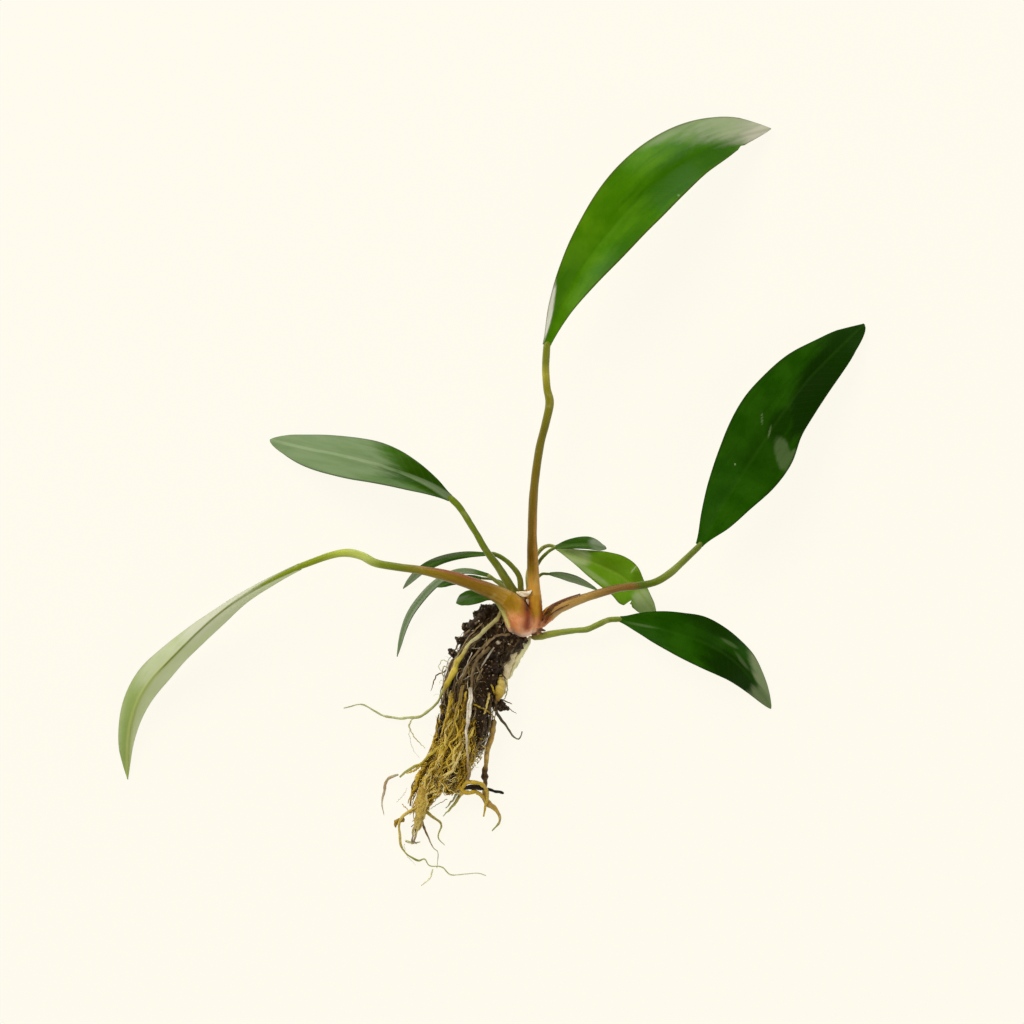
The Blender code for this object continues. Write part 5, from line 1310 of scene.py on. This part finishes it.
# Separate roots: route (x, y, z, diameter), a look, and how many strands they are twisted from
roots = {
    "root_long_left": ([(3.6, -33.6, 11.5, 1), (2.1, -36, 13, 1.2), (-0.5, -38.3, 14.5, 1.2),
        (-2.9, -40.7, 15.5, 1.2), (-5.3, -42.4, 15.8, 1), (-6.7, -44.5, 15.5, 1), (-8.2, -46.6, 15, 1.3),
        (-9.7, -48.7, 14, 1.6), (-10.3, -51.1, 13, 1.9), (-11.2, -53.8, 12, 1.8), (-13, -56.8, 11, 1.4),
        (-14.5, -58.7, 9.5, 0.7), (-15.8, -61.1, 8, 0.7), (-17.9, -63.3, 5.5, 0.8),
        (-20.9, -65.2, 4, 0.9), (-25, -65.9, 3, 0.8), (-30, -65.7, 2, 0.7), (-34.5, -63.9, 1.3, 0.55),
        (-38.6, -61.9, 0.9, 0.45), (-43.8, -63, 0.6, 0.35)], "straw", 1),
    "root_short_white": ([(1.3, -44.2, 17, 0.35), (-0.8, -47.4, 17, 0.6), (-2.6, -50.4, 16.6, 0.3)],
        "dull", 2),
    "root_white_strand": ([(-5.5, -56.3, 17, 1.1), (-5.8, -59.9, 17, 1.4), (-6.1, -63.1, 17, 1.6),
        (-6.4, -66.4, 17, 1.3), (-6.7, -70.2, 16.5, 1.4), (-6.4, -74.1, 16, 1.1), (-6.4, -77.7, 15, 1.1),
        (-6.2, -81.4, 13.5, 1.3), (-6.5, -83.8, 12, 1.3)], "white", 3),
    "root_yellow_strand": ([(-7.9, -55.7, 15.7, 0.9), (-8.8, -59.9, 15.8, 1.1), (-9.7, -63.5, 15.5, 1.2),
        (-10, -66.1, 15.2, 1.3), (-10.9, -69.4, 14.4, 1.4), (-12.1, -72.5, 13.2, 1.3)], "golden", 2),
    "root_pale_upper": ([(9.6, -41.9, 6, 1.4), (8.2, -43.9, 6.5, 2.2), (6.3, -47.2, 6.5, 2.9),
        (5.1, -50.2, 6.8, 3.1), (4.5, -53.4, 7, 2.3), (4.1, -58, 7, 1.3)], "cream", 1),
    "root_pale_side": ([(12.2, -41.6, 5.6, 1.1), (11.2, -43.2, 6, 1.7), (9.4, -46.3, 5.6, 2),
        (7.2, -50.2, 5.6, 1.7), (5.6, -53.8, 6, 1)], "pale", 1),
    "root_bud": ([(3.2, -53, 11.5, 1.1), (3.3, -55.2, 11.5, 2.4), (3, -57.4, 11.3, 2.8),
        (2.5, -60, 11, 1.4)], "bud", 1),
    "root_hook": ([(1.6, -62.8, 10, 1.1), (2.1, -64, 10, 1), (3, -65.5, 9.6, 0.9), (5.1, -68.2, 9, 0.7),
        (6.9, -71, 8.5, 0.55), (8.7, -71.8, 8.5, 0.45), (9.6, -69.7, 9, 0.35)], "hook", 1),
    "root_tan_loop": ([(-0.3, -66.5, 8.5, 1.5), (-0.6, -71.9, 7.6, 1.8), (-0.9, -77.3, 7, 1.5),
        (-1.2, -79.6, 6.8, 1.3), (-1.7, -81.6, 6.4, 1.8), (-1.6, -83.4, 6, 2), (-1.2, -85.8, 5, 1.1),
        (-1.5, -89.4, 4, 1.9), (-0.6, -91.6, 3.2, 2), (1.5, -93.1, 2.6, 1.4), (3, -95.2, 2.2, 0.9),
        (2.7, -97.4, 1.6, 0.7), (0.6, -99.8, 1.2, 0.35)], "tan", 1),
    "root_dead": ([(-7.4, -86.4, 9.4, 1), (-4.4, -86.1, 9.8, 1.7), (-1.1, -86.7, 9, 1),
        (1.5, -87.4, 8.2, 0.9), (3.9, -88, 7.6, 0.9)], "black", 1),
    "root_left_mid": ([(-11.2, -70.4, 13.4, 0.9), (-12.4, -72.8, 12.4, 1.1), (-15.4, -75.6, 10, 1.3),
        (-18.8, -78.5, 7.5, 1.3), (-22.1, -80.1, 5.4, 1.1), (-24.5, -81.4, 4, 0.9),
        (-26.9, -83.5, 3, 0.55)], "leaning", 2),
    "root_left_curl": ([(-27.5, -82.9, 3.4, 0.7), (-29.9, -83.6, 2.2, 0.9), (-31.2, -85.4, 1.5, 0.9),
        (-31.8, -88.4, 1, 0.8), (-32.4, -91.1, 0.8, 0.5), (-31.8, -95.1, 0.6, 0.2)], "grey", 1),
    "root_long_bottom": ([(-20.8, -88, 8, 1), (-21.4, -91.9, 7, 1.1), (-23.9, -93.7, 6, 1.4),
        (-26, -95.3, 5, 1.7), (-26.9, -97.8, 4, 1.4), (-26.6, -100.9, 3.2, 1.3),
        (-26.6, -103.9, 2.6, 1.1), (-25.4, -106, 2.2, 0.8), (-24.4, -107, 2, 0.8),
        (-21.6, -108.5, 1.7, 1), (-19.6, -108.2, 1.3, 0.7), (-18, -110.3, 1, 0.6),
        (-14.4, -110.8, 0.7, 0.55), (-11.7, -113, 0.6, 0.5), (-7.2, -112.8, 0.5, 0.45),
        (-3.6, -112.6, 0.5, 0.35), (-1.3, -113.3, 0.5, 0.25)], "trailing", 2),
    "root_bottom_fork": ([(-17.2, -111.3, 0.8, 0.5), (-18, -114, 0.6, 0.4), (-20.6, -116.2, 0.5, 0.25)],
        "pale", 1),
    "root_stump": ([(-19.8, -86.8, 7.4, 3), (-20.5, -91, 6.5, 3.4), (-20.9, -95.2, 5.8, 3),
        (-21.8, -98.3, 5, 2.3), (-22.7, -100.8, 4, 1.6), (-22.9, -103, 3, 1.3)], "stump", 12),
    "root_right_low": ([(-19.4, -93.5, 5, 1.1), (-17, -95.4, 3.8, 1), (-14.9, -97, 3, 0.9),
        (-14.4, -98.5, 2.4, 0.8), (-15.3, -100.7, 1.9, 0.8), (-15, -102.5, 1.4, 0.6),
        (-13.5, -104, 1, 0.3)], "green", 2),
    "root_brown_low": ([(-20.6, -95.6, 5, 0.9), (-20, -97.8, 3.8, 0.8), (-19, -100.4, 2.6, 0.6),
        (-17.1, -104.6, 1.6, 0.34), (-15.6, -106.4, 1, 0.28), (-15.9, -110.9, 0.7, 0.2)], "fading", 1),
    "root_fork_low": ([(-8, -87.2, 6.5, 1), (-9.8, -90.3, 4.6, 1.1), (-11.7, -92.8, 3, 0.9),
        (-14.1, -95.3, 1.6, 0.4)], "green", 2),
}

# colours along each root from its upper end, and the colour of its stains
rootLooks = {
    "straw": ([(0, "#a09a5a"), (0.12, "#b2ac74"), (0.2, "#c6c08e"), (0.28, "#c2b24c"), (0.36, "#dcc650"),
        (0.43, "#b8a22c"), (0.47, "#a8ac4c"), (0.62, "#b9bf78"), (1, "#cdd2a2")], "#8a7434"),
    "dull": ([(0, "#a59a84"), (0.5, "#c4bda8"), (1, "#a09884")], "#6a5c48"),
    "white": ([(0, "#a08f74"), (0.1, "#f0e8d4"), (0.48, "#ece2ca"), (0.62, "#d0c09a"), (0.78, "#ad9468"),
        (1, "#9a7e4c")], "#75634a"),
    "golden": ([(0, "#8c7436"), (0.4, "#b3964a"), (1, "#b09a30")], "#6f5828"),
    "cream": ([(0, "#b8b070"), (0.3, "#ead9ae"), (0.75, "#f0e2ba"), (1, "#d0bc80")], "#c0ac68"),
    "pale": ([(0, "#f0eec0"), (0.5, "#ece8b4"), (1, "#e2dcae")], "#c4c07c"),
    "bud": ([(0, "#c0ac58"), (0.4, "#dcc468"), (0.7, "#c4a440"), (1, "#96742e")], "#8a6c2c"),
    "hook": ([(0, "#40351f"), (0.5, "#655b42"), (1, "#8d876c")], "#32281a"),
    "tan": ([(0, "#8c7848"), (0.12, "#c8a050"), (0.3, "#d0b060"), (0.36, "#a88c40"), (0.4, "#47341a"),
        (0.46, "#34261a"), (0.52, "#6a5426"), (0.58, "#bc9c50"), (0.78, "#cba950"), (0.88, "#c3b474"),
        (0.94, "#93a048"), (1, "#a8b070")], "#7a5a2c"),
    "black": ([(0, "#2a1f18"), (0.4, "#1a1411"), (1, "#15120f")], "#3a2f26"),
    "leaning": ([(0, "#a08a2a"), (0.3, "#c0a82c"), (0.6, "#bfae34"), (0.78, "#b6b258"), (1, "#b4b878")],
        "#8a7a28"),
    "grey": ([(0, "#bdb698"), (0.35, "#b89c74"), (0.7, "#c8bca0"), (1, "#e2dcc6")], "#94805c"),
    "trailing": ([(0, "#b8983a"), (0.12, "#ccae50"), (0.25, "#d8c266"), (0.38, "#cdb85e"),
        (0.46, "#acaa4a"), (0.52, "#96a24c"), (0.62, "#b4bc70"), (1, "#cdd3a2")], "#8f7a34"),
    "stump": ([(0, "#c0a040"), (0.5, "#d4bb60"), (0.8, "#c8b570"), (1, "#bca496")], "#7a5c24"),
    "green": ([(0, "#b09a40"), (0.35, "#b8a956"), (0.7, "#b4b664"), (1, "#b5ba86")], "#766a36"),
    "fading": ([(0, "#7a5c2e"), (0.3, "#86683a"), (0.5, "#b8ac88"), (1, "#d6d0b4")], "#6a5230"),
}
rootSkins = {key: rootMaterial(key + "RootSkin", "share", stops, dirt, gloss=0.25 if key == "black" else 0.45)
    for key, (stops, dirt) in rootLooks.items()}
# the looks of roots that stay where they are drawn
freeRoots = ("pale", "cream", "stump", "fading", "green", "trailing", "bud")


def clearOfMass(points, radii):
    # moves root points out until they lie in the skin of the mass
    moved = points.copy()
    flat, tall = massValues["flat"], massValues["tall"]
    for k, (x, y, z) in enumerate(points):
        nearX, nearY, _, ball = massFine[nearestMass(x, y)]
        out = np.array([x - nearX, y - nearY, (z - ball * flat) / tall])
        needed = ball * 0.95 + radii[k] * 0.5
        if np.linalg.norm(out) < needed:
            out = out / np.linalg.norm(out) * needed
            moved[k] = (nearX + out[0], nearY + out[1], out[2] * tall + ball * flat)
    return moved


def rootPiece(name):
    route, look, strandCount = roots[name]
    length = pathLength(evenSteps(route, 40))
    count = max(20, int(length * 1.8))
    steps = evenSteps(route, count)
    share = np.linspace(0.0, 1.0, count)
    chance = random.Random(name)
    wild = min(1.0, steps[:, 3].mean())
    middle, sizes = steps[:, :3].copy(), steps[:, 3] / 2
    for axis in (0, 1):
        middle[:, axis] += wander(chance, share, 0.16 * wild, 2, length / 6 + 3)
    if look not in freeRoots:
        middle = clearOfMass(middle, sizes)
    side = np.cross(directions(middle), up)
    tubes = Tubes()
    for k in range(strandCount):
        # a single root keeps its size, twisted ones share it between their strands
        part = 1.0 if strandCount == 1 else chance.uniform(0.45, 0.85) / strandCount ** 0.35
        turn = fullTurn * k / strandCount + share * length * chance.uniform(-0.25, 0.25)
        turn = turn + wander(chance, share, 0.5)
        off = (1.0 - part) * sizes * (strandCount > 1)
        points = middle + side * (off * np.cos(turn))[:, None] + up * (off * np.sin(turn))[:, None]
        radii = sizes * part * (1 + 0.16 * wander(chance, share, 1.0, 3, length / 3 + 5))
        points[:, 2] = np.maximum(points[:, 2], radii + floorLevel)
        tubes.add(points, radii, 0.5, sides=14 if strandCount < 3 else 9)
    pieceName = "root" + "".join(word.capitalize() for word in name.split("_")[1:])
    place(tubes.piece(pieceName, rootSkins[look]), "root_yellow", name)


for name in roots:
    rootPiece(name)
print("roots made")


# Floor, light and camera

def floor(half=1.5):
    # plain cream sheet, evenly lit, which keeps a faint shadow (linear light, no texture needed)
    material, add = newMaterial("creamBackground")
    even = add("ShaderNodeEmission", {"Color": "#fffcef", "Strength": 0.95})
    matt = add("ShaderNodeBsdfDiffuse", {"Color": (0.05, 0.048, 0.042, 1.0)})
    add("ShaderNodeOutputMaterial", {"Surface": add("ShaderNodeAddShader", {0: even, 1: matt})})
    mesh = bpy.data.meshes.new("floor")
    corners = [(-half, -half, 0), (half, -half, 0), (half, half, 0), (-half, half, 0)]
    mesh.from_pydata(corners, [], [(0, 1, 2, 3)])
    mesh.materials.append(material)
    addPiece("floor", mesh)


# soft boxes: the two upper ones only light the plant, the low ones are also mirrored in its wet skin
lightValues = {
    "keySoftBox": dict(at=(-0.62, 0.75, 1.45), size=0.8, power=20.0, colour="#fffaf4", mirrored=False),
    "fillSoftBox": dict(at=(0.80, -0.65, 1.45), size=1.2, power=10.0, colour="#fffdf8", mirrored=False),
    "lowSoftBoxLeft": dict(at=(-1.20, 0.75, 0.42), size=0.7, power=3.5, colour="#fbfbff", mirrored=True),
    "lowSoftBoxTop": dict(at=(0.25, 1.40, 0.45), size=0.8, power=4.0, colour="#fbfbff", mirrored=True),
}
skyValues = dict(horizon=0.80, zenith=0.02, reach=0.55)
cameraValues = dict(lens=150.0, sensor=36.0, at=(0.00595, -0.0028, 1.28), sees=10.0)


def lights():
    for name, v in lightValues.items():
        data = bpy.data.lights.new(name, "AREA")
        data.shape = "SQUARE"
        data.size = v["size"]
        data.energy = v["power"]
        data.color = hexLinear(v["colour"])
        lamp = addPiece(name, data)
        lamp.location = v["at"]
        lamp.rotation_euler = (-Vector(v["at"])).to_track_quat("-Z", "Y").to_euler()
        lamp.visible_glossy = v["mirrored"]


def world():
    # a pale room: bright low down, dark straight up where the camera hangs
    v = skyValues
    sky = bpy.data.worlds.new("studio")
    sky.use_nodes = True
    add = partial(node, sky.node_tree)
    generated = add("ShaderNodeTexCoord").node.outputs["Generated"]
    way = add("ShaderNodeSeparateXYZ", {0: generated}).node.outputs[2]
    shade = sky.node_tree.nodes["Background"]
    shade.inputs["Color"].default_value = (*hexLinear("#fdfcf8"), 1.0)
    strength = add("ramp", way, 0.0, v["reach"], v["horizon"], v["zenith"])
    sky.node_tree.links.new(strength, shade.inputs["Strength"])
    bpy.context.scene.world = sky


def camera():
    v = cameraValues
    data = bpy.data.cameras.new("camera")
    data.lens = v["lens"]
    data.sensor_width = v["sensor"]
    data.clip_end = v["sees"]
    eye = addPiece("camera", data)
    eye.location = v["at"]
    bpy.context.scene.camera = eye


floor()
lights()
world()
camera()
bpy.context.scene.view_settings.view_transform = "Standard"
print("stage made")
